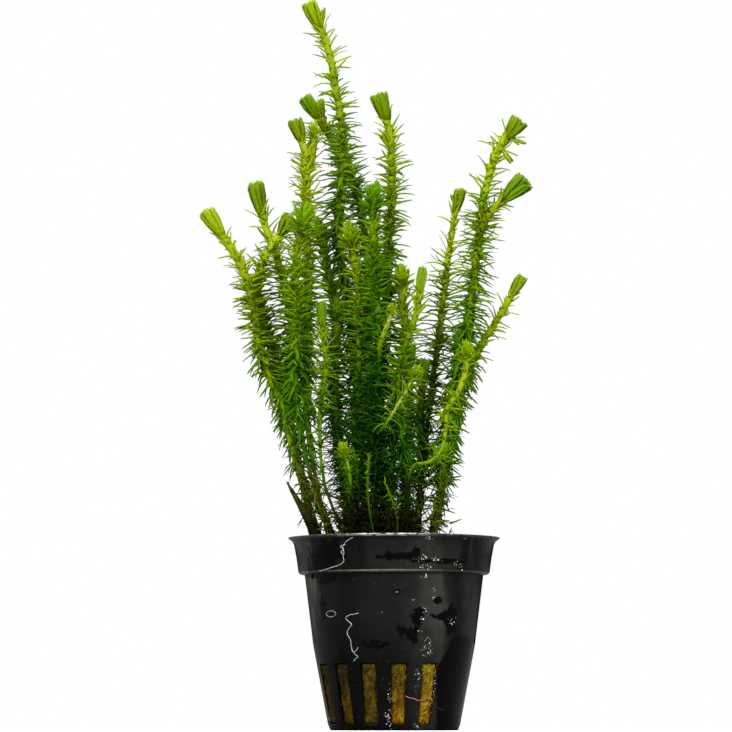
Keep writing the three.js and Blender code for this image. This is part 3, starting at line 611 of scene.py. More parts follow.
class PotNodes(Nodes):
    """The pot's plastic, with the places on it that its parts share."""

    def __init__(self, owner):
        super().__init__(owner)
        self.x, y, self.z = self.split(self.place())
        self.front = self.span(y, 2 * MM, -4 * MM)
        self.ragged = self.span(self.noise(420.0, 5.0, 0.7), 0.25, 0.75, -0.9, 0.9)

    def patches(self, marks, edge):
        """Where the marks are, 0 to 1, with ragged rims; edge is how soft those are."""
        total = None
        for mark_x, mark_z, half_width, half_height in marks:
            a = self.maths("DIVIDE", self.maths("SUBTRACT", self.x, mark_x * MM), half_width * MM)
            b = self.maths("DIVIDE", self.maths("SUBTRACT", self.z, mark_z * MM), half_height * MM)
            far = self.maths("SQRT", self.total(self.product(a, a), self.product(b, b)))
            near = self.span(self.total(far, self.ragged), 1.0 + edge, 1.0 - edge)
            total = near if total is None else self.maths("MAXIMUM", total, near)
        return self.product(total, self.front)

    def across(self, greys):
        """The greys from left to right, with wavy borders."""
        waves = self.span(self.drawn((160, 160, 60), 3.0), 0.3, 0.7, -1.2 * MM, 1.2 * MM)
        low, high = greys[0][0], greys[-1][0]
        stops = [((at - low) / (high - low), (grey, grey, 0.9 * grey)) for at, grey in greys]
        return self.ramp(self.span(self.total(self.x, waves), low * MM, high * MM), stops)

    def film(self):
        """The dried film with its painted reflections, streaked and cloudy, and darker on the ribs between
        the slots.
        """
        on_band = self.span(self.z, (BAND_FOOT_Z - 0.3) * MM, BAND_FOOT_Z * MM)
        grey = self.mix(on_band, self.across(BODY_GREYS), self.across(BAND_GREYS))
        ribs = self.span(self.z, SLOT_TOP_Z * MM, (SLOT_TOP_Z + 10) * MM, 0.42, 1.0)
        streaks = self.span(self.drawn((900, 900, 110), 4.0), 0.3, 0.7, 0.85, 1.12)
        clouds = self.span(self.noise(170.0, 5.0, 0.65), 0.3, 0.7, 0.6, 1.3)
        tone = self.product(streaks, clouds, ribs)
        tint = self.add("ShaderNodeCombineXYZ", {"X": tone, "Y": tone, "Z": tone}).outputs[0]
        return self.tinted(self.mix(self.front, POT_BACK, grey), tint)

    def shaded_side(self):
        """Painted shade: where the dark right side is, beyond a slanting line, with a ragged border."""
        (top_x, top_z), (foot_x, foot_z) = SHADED_SIDE_TOP, SHADED_SIDE_FOOT
        above_foot = self.maths("MAXIMUM", self.maths("SUBTRACT", self.z, foot_z * MM), 0.0)
        border = self.total(self.product(above_foot, (top_x - foot_x) / (top_z - foot_z)), foot_x * MM)
        beyond = self.total(self.maths("SUBTRACT", self.x, border), self.product(self.ragged, 0.7 * MM))
        beneath = self.span(self.z, top_z * MM, (top_z - 1.5) * MM)
        return self.product(self.span(beyond, 0.0, 0.5 * MM), beneath, self.front)

    def lip_highlight(self, grain):
        """The painted highlight on the lip's front, brightest near the middle."""
        lip = self.span(self.z, 47.25 * MM, 47.8 * MM)
        middle = self.span(self.apart(self.x, -2.4 * MM), 13.0 * MM, 4.0 * MM, 0.12, 1.0)
        return self.product(lip, self.front, middle, grain)

    def bead_highlight(self, grain):
        """The painted highlight along the foot of the band."""
        bead = self.span(self.apart(self.z, (BAND_FOOT_Z - 0.45) * MM), 0.35 * MM, 0.15 * MM)
        middle = self.span(self.apart(self.x, -2.6 * MM), 15.0 * MM, 3.0 * MM, 0.15, 1.0)
        return self.product(bead, self.front, middle, self.span(grain, 0.0, 1.0, 0.45, 1.0))

    def glints(self):
        """The painted white glints in their patches, and rarer specks all over the front."""
        cells = self.add("ShaderNodeTexVoronoi", {"Vector": self.place(), "Scale": 2700.0}).outputs
        chance = self.split(cells["Color"])
        size = self.span(chance[0], 0.1, 1.0, 0.0, 0.54)
        dot = self.maths("GREATER_THAN", self.maths("SUBTRACT", size, cells["Distance"]), 0.0)
        rare = self.maths("GREATER_THAN", chance[2], 0.98)
        small = self.maths("LESS_THAN", cells["Distance"], 0.2)
        return (
            self.product(self.patches(GLINTS, 0.3), dot, chance[1]),
            self.product(rare, small, self.front, 0.16),
        )


def pot_material():
    """Thin black moulded plastic: a dried film, darker where wet, with painted reflections, shade,
    highlights and small white glints.
    """
    n = PotNodes(bpy.data.materials.new("pot_plastic"))
    side = n.shaded_side()
    wet = n.patches(BLACK_WET, 0.1)
    grain = n.span(n.drawn((700, 700, 2500), 3.0), 0.35, 0.65)
    glint, speck = n.glints()
    colour = n.film()
    # Over the film: painted shade on the right, wet marks, painted highlights on lip and band, painted
    # glints, specks
    for share, marking in (
        (side, POT_SHADED_SIDE), (wet, POT_WET), (n.lip_highlight(grain), LIP_HIGHLIGHT),
        (n.bead_highlight(grain), BEAD_HIGHLIGHT), (glint, GLINT_WHITE), (speck, SPECK_GREY),
    ):
        colour = n.mix(share, colour, marking)
    rough = n.mix(n.maths("MAXIMUM", wet, side), (0.26, 0.26, 0.26, 1), (0.1, 0.1, 0.1, 1))
    height = n.total(n.product(n.total(glint, wet), 0.5), n.noise(300.0))
    return n.finish(n.skin(colour, rough, DULL, Normal=n.bump(height, 0.1 * MM, 0.4)))


def wool_material():
    """Matted mustard mineral fibre, drawn out up and down."""
    n = Nodes(bpy.data.materials.new("mineral_wool"))
    fibres = n.drawn((1700.0, 1700.0, 420.0), 4.0, 0.7)
    broad = n.span(n.noise(240.0), 0.3, 0.7, -0.22, 0.22)
    # The tone attribute holds the wool's own tone and the painted shade behind the slots' tops
    tone = n.total(n.attribute("tone"), broad, n.span(fibres, 0.25, 0.75, -0.3, 0.3))
    high = n.span(n.split(n.place())[2], 4.0 * MM, 15.0 * MM)
    colour = n.tinted(n.ramp(tone, WOOLS), n.mix(high, WOOL_LOW_TINT, WOOL_HIGH_TINT))
    height = n.total(fibres, n.noise(900.0))
    return n.finish(n.skin(colour, 0.7, DULL, Normal=n.bump(height, 0.3 * MM, 0.9)))


def thread_material(name, colour, roughness):
    n = Nodes(bpy.data.materials.new(name))
    tint = n.mix(n.span(n.noise(700.0), 0.3, 0.7), (*colour, 1), (*(0.6 * c for c in colour), 1))
    return n.finish(n.skin(tint, roughness))


def root_material():
    """The thin root: orange, and dark brown from where it lies under the film."""
    n = Nodes(bpy.data.materials.new("root_thread"))
    x = n.split(n.place())[0]
    return n.finish(n.skin(n.ramp(n.span(x, 5.0 * MM, 7.5 * MM), ROOTS), 0.4))


# Meshes from arrays

def finished_piece(name, mesh, material):
    """A smooth piece of the part's one body from a mesh."""
    mesh.polygons.foreach_set("use_smooth", [True] * len(mesh.polygons))
    mesh.materials.append(material)
    mesh.update()
    piece = link(name, mesh)
    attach(piece, "root")
    return piece


def new_piece(name, vertices, faces, material, attributes):
    """A piece from vertices in millimetres, with named numbers at its points."""
    mesh = bpy.data.meshes.new(name)
    mesh.from_pydata((np.asarray(vertices) * MM).tolist(), [], [tuple(f) for f in faces])
    mesh.validate()
    for key, values in attributes.items():
        layer = mesh.attributes.new(key, "FLOAT", "POINT")
        layer.data.foreach_set("value", np.asarray(values, dtype=np.float32))
    return finished_piece(name, mesh, material)


class Gathered:
    """Collects vertices and faces for one mesh, with named numbers at each vertex."""

    def __init__(self, *names):
        self.vertices, self.faces, self.count = [], [], 0
        self.values = {name: [] for name in names}

    def add(self, vertices, faces, **values):
        self.faces.extend(tuple(self.count + v for v in face) for face in faces)
        self.vertices.append(vertices)
        self.count += len(vertices)
        for key, collected in self.values.items():
            collected.append(np.broadcast_to(values[key], len(vertices)))

    def piece(self, name, material):
        values = {key: np.concatenate(collected) for key, collected in self.values.items()}
        return new_piece(name, np.vstack(self.vertices), self.faces, material, values)


def unit(vectors):
    return vectors / np.maximum(np.linalg.norm(vectors, axis=-1, keepdims=True), 1e-9)


def around(turn, side, other):
    """The directions at these turns from side towards other."""
    return np.cos(turn)[:, None] * side + np.sin(turn)[:, None] * other


def centripetal(points, steps_per_span=24):
    """A centripetal Catmull-Rom curve through the points, closely sampled."""
    points = np.asarray(points, dtype=float)
    padded = np.vstack([2 * points[0] - points[1], points, 2 * points[-1] - points[-2]])
    curve = []
    for i in range(len(points) - 1):
        a, b, c, d = padded[i:i + 4]
        ta, tb, tc = (np.sqrt(np.linalg.norm(q - p)) for p, q in ((a, b), (b, c), (c, d)))
        m1 = ((b - a) / ta - (c - a) / (ta + tb) + (c - b) / tb) * tb
        m2 = ((c - b) / tb - (d - b) / (tb + tc) + (d - c) / tc) * tb
        t = np.linspace(0, 1, steps_per_span, endpoint=False)[:, None]
        curve.append(
            b + m1 * t + (-3 * b + 3 * c - 2 * m1 - m2) * t ** 2 + (2 * b - 2 * c + m1 + m2) * t ** 3
        )
    curve.append(points[-1:])
    return np.vstack(curve)


class Line:
    """A middle line, with a frame that doesn't twist, read by distance from its start."""

    def __init__(self, curve):
        self.curve = curve
        self.at = np.concatenate([[0], np.cumsum(np.linalg.norm(np.diff(curve, axis=0), axis=1))])
        self.length = self.at[-1]
        self.tangents = unit(np.gradient(curve, axis=0))
        side = np.cross(self.tangents[0], (0, 1, 0))
        sides = []
        for tangent in self.tangents:
            side = side - tangent * side.dot(tangent)
            side = side / np.linalg.norm(side)
            sides.append(side)
        self.sides = np.array(sides)

    def read(self, values, distance):
        return np.stack([np.interp(distance, self.at, values[:, k]) for k in range(3)], axis=-1)

    def frame(self, distance):
        """Place, tangent and two directions square to it."""
        tangent = unit(self.read(self.tangents, distance))
        side = self.read(self.sides, distance)
        side = unit(side - tangent * np.sum(side * tangent, axis=-1, keepdims=True))
        return self.read(self.curve, distance), tangent, side, np.cross(tangent, side)


def walls(rings, sides):
    """The faces between rings of vertices, one ring after the other."""
    faces = []
    for i in range(rings - 1):
        for j in range(sides):
            k = (j + 1) % sides
            faces.append((i * sides + j, i * sides + k, (i + 1) * sides + k, (i + 1) * sides + j))
    return faces


def closed_walls(rings, sides):
    """The same, with a face over each end."""
    ends = [tuple(range(sides))[::-1], tuple(range((rings - 1) * sides, rings * sides))]
    return walls(rings, sides) + ends


def tube(line, distances, radii, sides):
    """A closed tube along a line: vertices, faces and each vertex's distance."""
    place, _, side, other = line.frame(distances)
    turn = np.linspace(0, 2 * math.pi, sides, endpoint=False)
    ring = np.cos(turn)[None, :, None] * side[:, None] + np.sin(turn)[None, :, None] * other[:, None]
    vertices = (place[:, None] + ring * np.asarray(radii)[:, None, None]).reshape(-1, 3)
    return vertices, closed_walls(len(distances), sides), np.repeat(distances, sides)


def leaf_blades(foot, outward, upward, length, width, rise, bend, sweep, roll, shape, fold):
    """Many leaves as closed blades, folded a little along the midrib. Each starts at its foot with
    an angle of rise from outward towards upward, and has turned by bend at its tip."""
    count = len(foot)
    stations, outline = shape[:, 0], shape[:, 1]
    sideways = unit(np.cross(outward, upward))
    steps = np.append(stations, 1.0)
    centre = np.empty((count, len(steps), 3))
    centre[:, 0] = foot
    heading = np.empty_like(centre)
    for i, t in enumerate(steps):
        angle = rise + bend * t
        ahead = around(angle, outward, upward)
        heading[:, i] = unit(ahead + (sweep * t)[:, None] * sideways)
        if i:
            stride = 0.5 * (length * (t - steps[i - 1]))[:, None]
            centre[:, i] = centre[:, i - 1] + stride * (heading[:, i - 1] + heading[:, i])
    flat = unit(np.cross(heading, np.cross(sideways[:, None], heading)))
    upper = unit(np.cross(flat, heading))
    cos, sin = np.cos(roll)[:, None, None], np.sin(roll)[:, None, None]
    across = (flat * cos + upper * sin)[:, :-1]
    normal = (upper * cos - flat * sin)[:, :-1]
    half = 0.5 * (width[:, None] * outline[None, :])[..., None]
    thick = np.minimum(LEAF_THICKNESS, 0.5 * half)
    ring = centre[:, :-1, None] + np.zeros((count, len(stations), 4, 3))
    ring[:, :, 0] += normal * fold * half - across * half
    ring[:, :, 1] += normal * thick * 0.4
    ring[:, :, 2] += normal * fold * half + across * half
    ring[:, :, 3] -= normal * thick
    vertices = np.concatenate([ring.reshape(count, -1, 3), centre[:, -1:]], axis=1)
    tip = 4 * len(stations)
    faces = walls(len(stations), 4)
    faces += [(tip - 4 + j, tip - 4 + (j + 1) % 4, tip) for j in range(4)]
    faces.append((3, 2, 1, 0))
    return vertices, np.append(np.repeat(stations, 4), 1.0), faces


# The shoots

class Foliage(Gathered):
    """Collects stems and leaves, with what the leaf material reads at each point."""

    def __init__(self):
        super().__init__("stage", "old", "along", "blade", "black", "pale")

    def add_blades(self, blades, along, faces, stage, old, black=0.0):
        count, each, _ = blades.shape
        offsets = np.arange(count) * each
        shapes = [tuple(offset + v for v in face) for offset in offsets for face in faces]
        self.add(
            blades.reshape(-1, 3), shapes, along=np.tile(along, count), blade=1.0, pale=0.0,
            stage=np.repeat(stage, each), old=np.repeat(np.broadcast_to(old, count), each),
            black=np.repeat(np.broadcast_to(black, count), each),
        )


def below(place, start, length):
    """How far a change has come at each place: 0 from its start up, and 1 that length beneath it."""
    return np.clip((start - place[:, 2]) / length, 0, 1)


def beside(place, middle, start, length):
    """How far a change towards the sides has come: 0 up to its start, and 1 that length further out."""
    return np.clip((np.abs(place[:, 0] - middle) - start) / length, 0, 1)


def by_side(place, values):
    """The first of two values at places on the viewer's right, and the second on the left."""
    return np.where(place[:, 0] > 0, *values)


def inside(place):
    """How far inside the bundle of shoots a place is, from 1 in the middle to 0 at the sides."""
    return np.clip((INSIDE_TO - np.abs(place[:, 0] - BUNDLE_MIDDLE)) / INSIDE_OVER, 0, 1)


def aside(place):
    """How far out at the sides a place is, from 0 to 1, and less on the viewer's right."""
    return by_side(place, BROWN_SHARE) * beside(place, *BROWNER)


def dimness(from_tip, shoot):
    """How dark a stem's skin is by its distance from the tip: darker than the leaves near it."""
    dim = 0.0 if shoot["fresh"] or "pale" in shoot else STEM_DIM
    return shoot.get("dim", dim) * np.clip((DIM_TO - from_tip) / DIM_OVER, 0, 1)


def leaf_stage(from_tip, place, shoot, rng):
    """How far a leaf is from young yellow-green, 0, to deep green, 1: older ones further down are deeper,
    and low ones in the shade of the others are painted deeper still as shade."""
    grown = np.minimum(0.12 + shoot["deepening"] * from_tip, 0.56)
    # Painted shade: the low leaves are painted deeper, less so towards the sides and on fresh shoots
    shaded = 1 - 0.9 * beside(place, *LESS_SHADED)
    if shoot["fresh"]:
        shaded *= 0.6
    varied = shoot["tone"] + rng.normal(0, 0.05, len(place))
    return np.clip(grown + 0.42 * below(place, *SHADED_DEEPER_GREEN) * shaded + varied, 0, 1)


def leaf_age(place, shoot, rng):
    """How brown a leaf is: the low ones, those at the sides sooner, and a few others."""
    start, length = BROWN_LEAF
    low = below(place, start + BROWN_ASIDE * aside(place), length)
    chance = rng.random(len(place))
    browned = np.where(chance < 0.25 + 0.5 * low, low, 0.35 * low)
    rare = np.where(rng.random(len(place)) < 0.006, 0.8, 0.0)
    return np.clip(np.maximum(browned, rare) + shoot["old"], 0, 1)


def crowding(place, shoot):
    """The share of the leaves that are still there: most in the middle, fewest low at the sides."""
    thinned = beside(place, *THINNER) * below(place, by_side(place, THIN_BELOW), THIN_OVER)
    low_right = below(place, *THIN_LOW_RIGHT) * np.clip((place[:, 0] - 1) / 6, 0, 1)
    left_out = by_side(place, LEFT_OUT) * np.maximum(thinned, 0.9 * low_right)
    full = 0.76 + 0.24 * inside(place) * below(place, *FULL_INSIDE)
    return full * (1 - left_out) * shoot["crowd"]


def shade(place, shoot):
    """Painted shade: how black the parts are painted that lie in deep shade at a shoot's foot."""
    return below(place, shoot["dark"], BLACK_OVER)


def first_leaf(shoot):
    """Where along the stem the leaves start."""
    if "branch_of" in shoot:
        return BARE_FORK + shoot.get("bare", 0)
    return SUNK + shoot.get("bare", BARE_FOOT)


def crowded(spots, end, shoot):
    """How crowded the leaves are at spots along the stem: 0 in the sparse stretch below end."""
    return np.clip((end - spots - shoot["sparse"]) / CROWDED_OVER, 0, 1)


def add_stem(foliage, line, shoot, rng):
    """The stem itself. It gives back its radii by the distance from its start."""
    distances = np.arange(0, line.length - 0.35 * shoot["tuft"][1], STEM_STEP)
    taper = np.clip((line.length - distances) / STEM_TAPER_LENGTH, 0, 1)
    radii = STEM_TIP_RADIUS + (STEM_FOOT_RADIUS - STEM_TIP_RADIUS) * taper
    height = np.interp(distances, line.at, line.curve[:, 2])
    radii *= np.clip((height - FOOT_THIN_FROM) / FOOT_THIN_OVER, FOOT_THINNEST, 1)
    radii *= shoot["stem"] * (1 + rng.normal(0, STEM_WAVER, len(radii)))
    if "wedge" in shoot:
        thicker = shoot["wedge"] * (line.length - distances)
        radii = WEDGE_TIP_RADIUS + thicker * (1 + rng.normal(0, WEDGE_WAVER, len(radii)))
    radii[-len(STEM_END):] *= np.array(STEM_END)
    vertices, faces, at = tube(line, distances, radii, STEM_SIDES)
    stage = leaf_stage(line.length - at, vertices, shoot, rng)
    worn = 0.0 if shoot["fresh"] else 0.9
    start, length = BROWN_STEM
    browned = below(vertices, start + BROWN_STEM_ASIDE * aside(vertices), length)
    old = worn * browned + shoot["old"]
    # Painted shade: stems are painted black near their feet, a little less at the sides, and below their
    # height dark
    foot = (0.88 - 0.33 * aside(vertices)) * below(vertices, *SHADED_STEM_FOOT)
    black = np.maximum(shade(vertices, shoot), foot)
    black = np.maximum(black, dimness(line.length - at, shoot))
    pale = shoot.get("pale", LEAST_PALE) * np.clip(1.4 - old, 0, 1)
    pale *= np.clip((PALE_TO - line.length + at) / PALE_OVER, 0, 1)
    if "branch_of" in shoot:
        pale *= np.clip((at - FORK_GREEN_TO) / FORK_GREEN_OVER, 0, 1)
    foliage.add(
        vertices, faces, stage=stage, old=np.clip(old, 0, 1), along=0.0, blade=0.0, black=black, pale=pale,
    )
    return distances, radii


def leaf_spots(line, shoot, end, rng):
    """Where the leaves are along the stem, and their turns round it, in a spiral."""
    start = first_leaf(shoot)
    fine = np.arange(start, end, COUNTING_STEP)
    rooted = np.clip((fine - start) / ROOTED_OVER, ROOTED_LEAST, 1)
    closer = (LEAVES_PER_MM - SPARSE_LEAVES_PER_MM) * crowded(fine, end, shoot)
    counted = np.cumsum((SPARSE_LEAVES_PER_MM + closer) * rooted) * COUNTING_STEP
    spots = np.interp(np.arange(0.5, counted[-1]), counted, fine)
    turn = np.arange(len(spots)) * GOLDEN_ANGLE + rng.normal(0, TURN_SPREAD, len(spots))
    kept = rng.random(len(spots)) < crowding(line.frame(spots)[0], shoot)
    return spots[kept], turn[kept]


def add_leaves(foliage, line, shoot, stem, rng):
    """The leaves along the stem, closer together below the sparse stretch."""
    end = line.length - 0.9 * shoot["tuft"][1]
    if end <= first_leaf(shoot):
        return
    spots, turn = leaf_spots(line, shoot, end, rng)
    count = len(spots)
    place, tangent, side, other = line.frame(spots)
    outward = around(turn, side, other)
    young = np.clip(1 - (end - spots) / YOUNG_OVER, 0, 1)
    fine_leaved = np.maximum(inside(place) * below(place, *FINE_INSIDE), 0.8 * below(place, *FINE_LEAVED))
    drooping = (1 - inside(place)) * below(place, by_side(place, DROOP_BELOW), DROOP_OVER)
    above = place[:, 2] - by_side(place, HANG_ABOVE)
    hanging = by_side(place, HANG_SHARE) * drooping * np.clip(above / HANG_OVER, 0, 1)

    length = shoot["leaf"] * rng.normal(1, LENGTH_SPREAD, count).clip(0.65, 1.2)
    length *= 1 - 0.3 * young * rng.random(count)
    width = LEAF_WIDTH * rng.normal(1, WIDTH_SPREAD, count).clip(0.65, 1.35)
    width *= np.clip(length / 4.5, 0.6, 1)
    width *= shoot["narrow"]
    width *= 1 - 0.4 * fine_leaved + by_side(place, DROOP_BROADER) * drooping
    length *= 1 + 0.15 * fine_leaved - by_side(place, DROOP_SHORTER) * drooping + 0.25 * hanging

    level = np.clip(RISE_AT_TIP - FALL_PER_MM * (line.length - spots), LOWEST_RISE, 90)
    level = level * (1 - 0.7 * fine_leaved * (1 - drooping)) - 20 * drooping - 34 * hanging
    spread = 14 + 8 * young + 16 * fine_leaved
    rise = np.radians(level + 8 + 22 * young + spread * rng.normal(0, 1, count))
    bend = np.radians(rng.normal(BEND, BEND_SPREAD, count))
    rise -= 0.35 * bend
    sweep = rng.normal(0, 1, count) * (0.45 + 0.4 * fine_leaved)
    roll = np.radians(rng.normal(0, ROLL_SPREAD, count))
    foot = place + outward * (np.interp(spots, *stem) * 0.6)[:, None]
    blades = leaf_blades(
        foot, outward, tangent, length, width, rise, bend, sweep, roll, LEAF_SHAPE, LEAF_FOLD,
    )
    stage = leaf_stage(line.length - spots, place, shoot, rng)
    # The leaves are painted black as deep shade below the shoot's height dark
    foliage.add_blades(*blades, stage, leaf_age(place, shoot, rng), shade(place, shoot))


def add_short_leaves(foliage, line, shoot, stem, rng):
    """The short leaves and broad leaf bases that clothe the stem."""
    start = first_leaf(shoot)
    end = line.length - 0.6 * shoot["tuft"][1]
    for per_mm, shortest, longest, lowest, highest, deeper, shape in SHORT_LEAVES:
        spots = rng.uniform(start, end, max(int((end - start) * per_mm), 1))
        thinned = crowded(spots, end, shoot) if shortest > 1 else 1
        kept = rng.random(len(spots)) < thinned * crowding(line.frame(spots)[0], shoot)
        spots = np.sort(spots[kept])
        count = len(spots)
        if count == 0:
            continue
        place, tangent, side, other = line.frame(spots)
        outward = around(np.arange(count) * GOLDEN_ANGLE + rng.normal(0, 0.4, count), side, other)
        girth = np.interp(spots, *stem)
        blades = leaf_blades(
            place + outward * (girth * 0.85)[:, None], outward, tangent,
            rng.uniform(shortest, longest, count) * shoot["leaf"] / LEAF_LENGTH,
            rng.uniform(0.9, 1.25, count) * shoot["narrow"],
            np.radians(rng.uniform(lowest, highest, count)), np.radians(rng.uniform(-35, 5, count)),
            rng.normal(0, 0.3, count), np.radians(rng.normal(0, 20, count)), shape, 0.2,
        )
        stage = np.clip(leaf_stage(line.length - spots, place, shoot, rng) + deeper, 0, 1)
        # Painted deep shade below the shoot's height dark, and the darker skin near the tip
        black = np.maximum(shade(place, shoot), 0.8 * dimness(line.length - spots, shoot))
        foliage.add_blades(*blades, stage, leaf_age(place, shoot, rng), black)


def add_tuft(foliage, line, shoot, rng):
    """The tip's young leaves, pressed together and all ending at one ragged level, or open."""
    radius, size = shoot["tuft"]
    wide = shoot["open"]
    usual = OPEN_TUFT_LEAVES if wide else TUFT_LEAVES
    count = int(usual * (0.35 + 0.65 * radius / TUFT_RADIUS) * min(radius, 1))
    if count == 0:
        return
    q = (np.arange(count) + 0.5) / count
    base = line.length - size + q * size * (0.5 if wide else 0.62)
    place, tangent, side, other = line.frame(base)
    outward = around(np.arange(count) * GOLDEN_ANGLE, side, other)
    width = rng.uniform(1.3, 2.0, count) * np.clip(radius / TUFT_RADIUS, 0.55, 1.1)
    if wide:
        length = np.hypot(radius, 0.5 * size) * rng.uniform(0.75, 1.1, count)
        rise = np.radians(5 + 85 * q ** 0.6 + rng.normal(0, 12, count))
        bend = np.radians(-30 * (1 - q) + rng.normal(0, 18, count))
        width *= 0.6 * shoot["narrow"]
    else:
        reach = np.maximum(0.85 * radius * (1 - q) ** 0.6 - 0.3, 0.05) * rng.normal(1, 0.05, count)
        climb = line.length + 0.5 - base - np.abs(rng.normal(0, 0.7, count)) - 0.12 * size * q ** 2
        length = np.hypot(climb, reach)
        bend = np.radians(TUFT_BULGE * (1 - q) + rng.normal(0, 5, count))
        rise = np.arctan2(climb, reach) - bend / 2
    blades, along, faces = leaf_blades(
        place + outward * 0.4, outward, tangent, length, width, rise, bend, rng.normal(0, 0.05, count),
        np.radians(rng.normal(0, 7, count)), TUFT_SHAPE, 0.06,
    )
    tip = shoot["tip"]
    stage = TUFT_STAGE + shoot["tone"] + 0.4 * tip + 0.08 * (1 - q) + rng.normal(0, 0.025, count)
    dusk = 1.3 * max(tip, 0) * rng.uniform(0.7, 1.1, count)
    foliage.add_blades(blades, 0.2 + 0.4 * along, faces, np.clip(stage, 0, 1), shoot["old"], dusk)


def add_bud(foliage, line, bud, shoot, rng):
    """A small side tuft on a stem, or a few leaves that stand or hang together."""
    height, degrees, size, count = bud
    spot = np.interp(height, line.curve[:, 2], line.at)
    place = line.frame(np.full(count, spot))[0]
    angle = math.radians(degrees)
    heading = np.array((math.cos(angle), -0.25, math.sin(angle)))
    side = unit(np.tile(np.cross(heading, (0, 1, 0)), (count, 1)))
    upward = unit(np.tile(heading, (count, 1)))
    outward = around(np.arange(count) * GOLDEN_ANGLE, side, np.cross(upward, side))
    length = size * rng.uniform(0.75, 1.0, count)
    blades = leaf_blades(
        place + upward * 0.4, outward, upward, length, rng.uniform(0.8, 1.2, count),
        np.radians(rng.uniform(66, 88, count)), np.zeros(count), np.zeros(count),
        np.radians(rng.normal(0, 20, count)), TUFT_SHAPE, 0.2,
    )
    stage = np.clip(TUFT_STAGE + shoot["tone"] + rng.normal(0, 0.05, count), 0, 1)
    foliage.add_blades(*blades, stage, 0.0)


def shoot_lines():
    """Every shoot's middle line. One that grows out of the wool starts inside it."""
    lines = {}
    for shoot in SHOOTS:
        places = [np.array(p, dtype=float) for p in shoot["path"]]
        if "branch_of" in shoot:
            parent = lines[shoot["branch_of"]].curve
            places[0] = parent[np.argmin(np.linalg.norm(parent - places[0], axis=1))]
        else:
            places.insert(0, places[0] - (0, 0, SUNK))
        lines[shoot["name"]] = Line(centripetal(places))
    return lines


def shoot_piece(shoot, line, material, seed):
    shoot = USUAL_SHOOT | shoot
    rng = np.random.default_rng(seed)
    foliage = Foliage()
    stem = add_stem(foliage, line, shoot, rng)
    add_leaves(foliage, line, shoot, stem, rng)
    if not shoot["smooth"]:
        add_short_leaves(foliage, line, shoot, stem, rng)
    add_tuft(foliage, line, shoot, rng)
    for bud in shoot["buds"]:
        add_bud(foliage, line, bud, shoot, rng)
    piece = foliage.piece("leafy_" + shoot["name"], material)
    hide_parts(shoot["name"])


def dead_leaves(material):
    """Thin brown and black leaves that lie between the stems' feet, their black partly painted deep shade.
    """
    rng = np.random.default_rng(LITTER_SEED)
    foliage = Foliage()
    for x, y, half_width, half_depth, height, count, black in LITTER:
        foot = np.column_stack([
            x + half_width * rng.uniform(-1, 1, count), y + half_depth * rng.uniform(-1, 1, count),
            PLUG_TOP_Z + 0.4 + height * rng.random(count) ** 1.4,
        ])
        foot = foot[np.hypot(foot[:, 0], foot[:, 1]) < WALL_TOP_RADIUS - LITTER_MARGIN]
        count = len(foot)
        turn = rng.uniform(0, 2 * math.pi, count)
        outward = np.column_stack([np.cos(turn), np.sin(turn), np.zeros(count)])
        upward = np.tile((0, 0, 1.0), (count, 1))
        length = rng.uniform(2.5, 5.2, count)
        rise = np.radians(rng.uniform(-10, 80, count))
        high = (foot[:, 2] - PLUG_TOP_Z) / height
        blades = leaf_blades(
            foot, outward, upward, length, rng.uniform(0.4, 0.9, count), rise,
            np.radians(rng.normal(0, 50, count)), rng.normal(0, 0.5, count),
            np.radians(rng.normal(0, 45, count)), LEAF_SHAPE, 0.3,
        )
        stage = np.clip(rng.normal(0.9, 0.1, count), 0, 1)
        brown = np.clip(1.1 - 0.6 * high * rng.random(count), 0, 1)
        # Painted deep shade: the lower a leaf lies in its clump, the blacker it is painted
        foliage.add_blades(*blades, stage, brown, np.clip(black - 0.1 * high * rng.random(count), 0, 1))
    piece = foliage.piece("dead_leaves", material)


# The pot

def wall_radius(z):
    """The outside of the wall below the band: it widens fast up to above the slots, then slowly."""
    if z < SLOTTED_TOP_Z:
        return BASE_RADIUS + (SLOTTED_TOP_RADIUS - BASE_RADIUS) * z / SLOTTED_TOP_Z
    share = (z - SLOTTED_TOP_Z) / (BAND_FOOT_Z - SLOTTED_TOP_Z)
    return SLOTTED_TOP_RADIUS + min(share, 1) * (WALL_TOP_RADIUS - SLOTTED_TOP_RADIUS)


def pot_profile():
    """The outside of the wall as (radius, height), from the foot to the lip."""
    heights = (
        SLOT_FOOT_Z, 5.0, 9.0, 13.0, SLOT_TOP_Z, SLOTTED_TOP_Z - 0.5, SLOTTED_TOP_Z + 0.5, 27.0, 33.0,
        BAND_FOOT_Z - BASE_EDGE - 0.1,
    )
    return [
        (BASE_RADIUS - BASE_EDGE, 0.0),
        (BASE_RADIUS - 0.15, 0.15),
        (BASE_RADIUS, BASE_EDGE),
        *((wall_radius(z), z) for z in heights),
        (BAND_FOOT_RADIUS - BASE_EDGE, BAND_FOOT_Z - BASE_EDGE),
        (BAND_FOOT_RADIUS - 0.15, BAND_FOOT_Z - 0.4),
        (BAND_FOOT_RADIUS, BAND_FOOT_Z),
        (BAND_FOOT_RADIUS + 0.5, 43.0),
        (BAND_TOP_RADIUS, POT_HEIGHT - LIP_DEPTH),
        (BAND_TOP_RADIUS + 0.45, POT_HEIGHT - LIP_DEPTH * 0.55),
        (RIM_RADIUS - 0.1, POT_HEIGHT - 0.25),
        (RIM_RADIUS, POT_HEIGHT - 0.12),
        (RIM_RADIUS - 0.15, POT_HEIGHT),
    ]


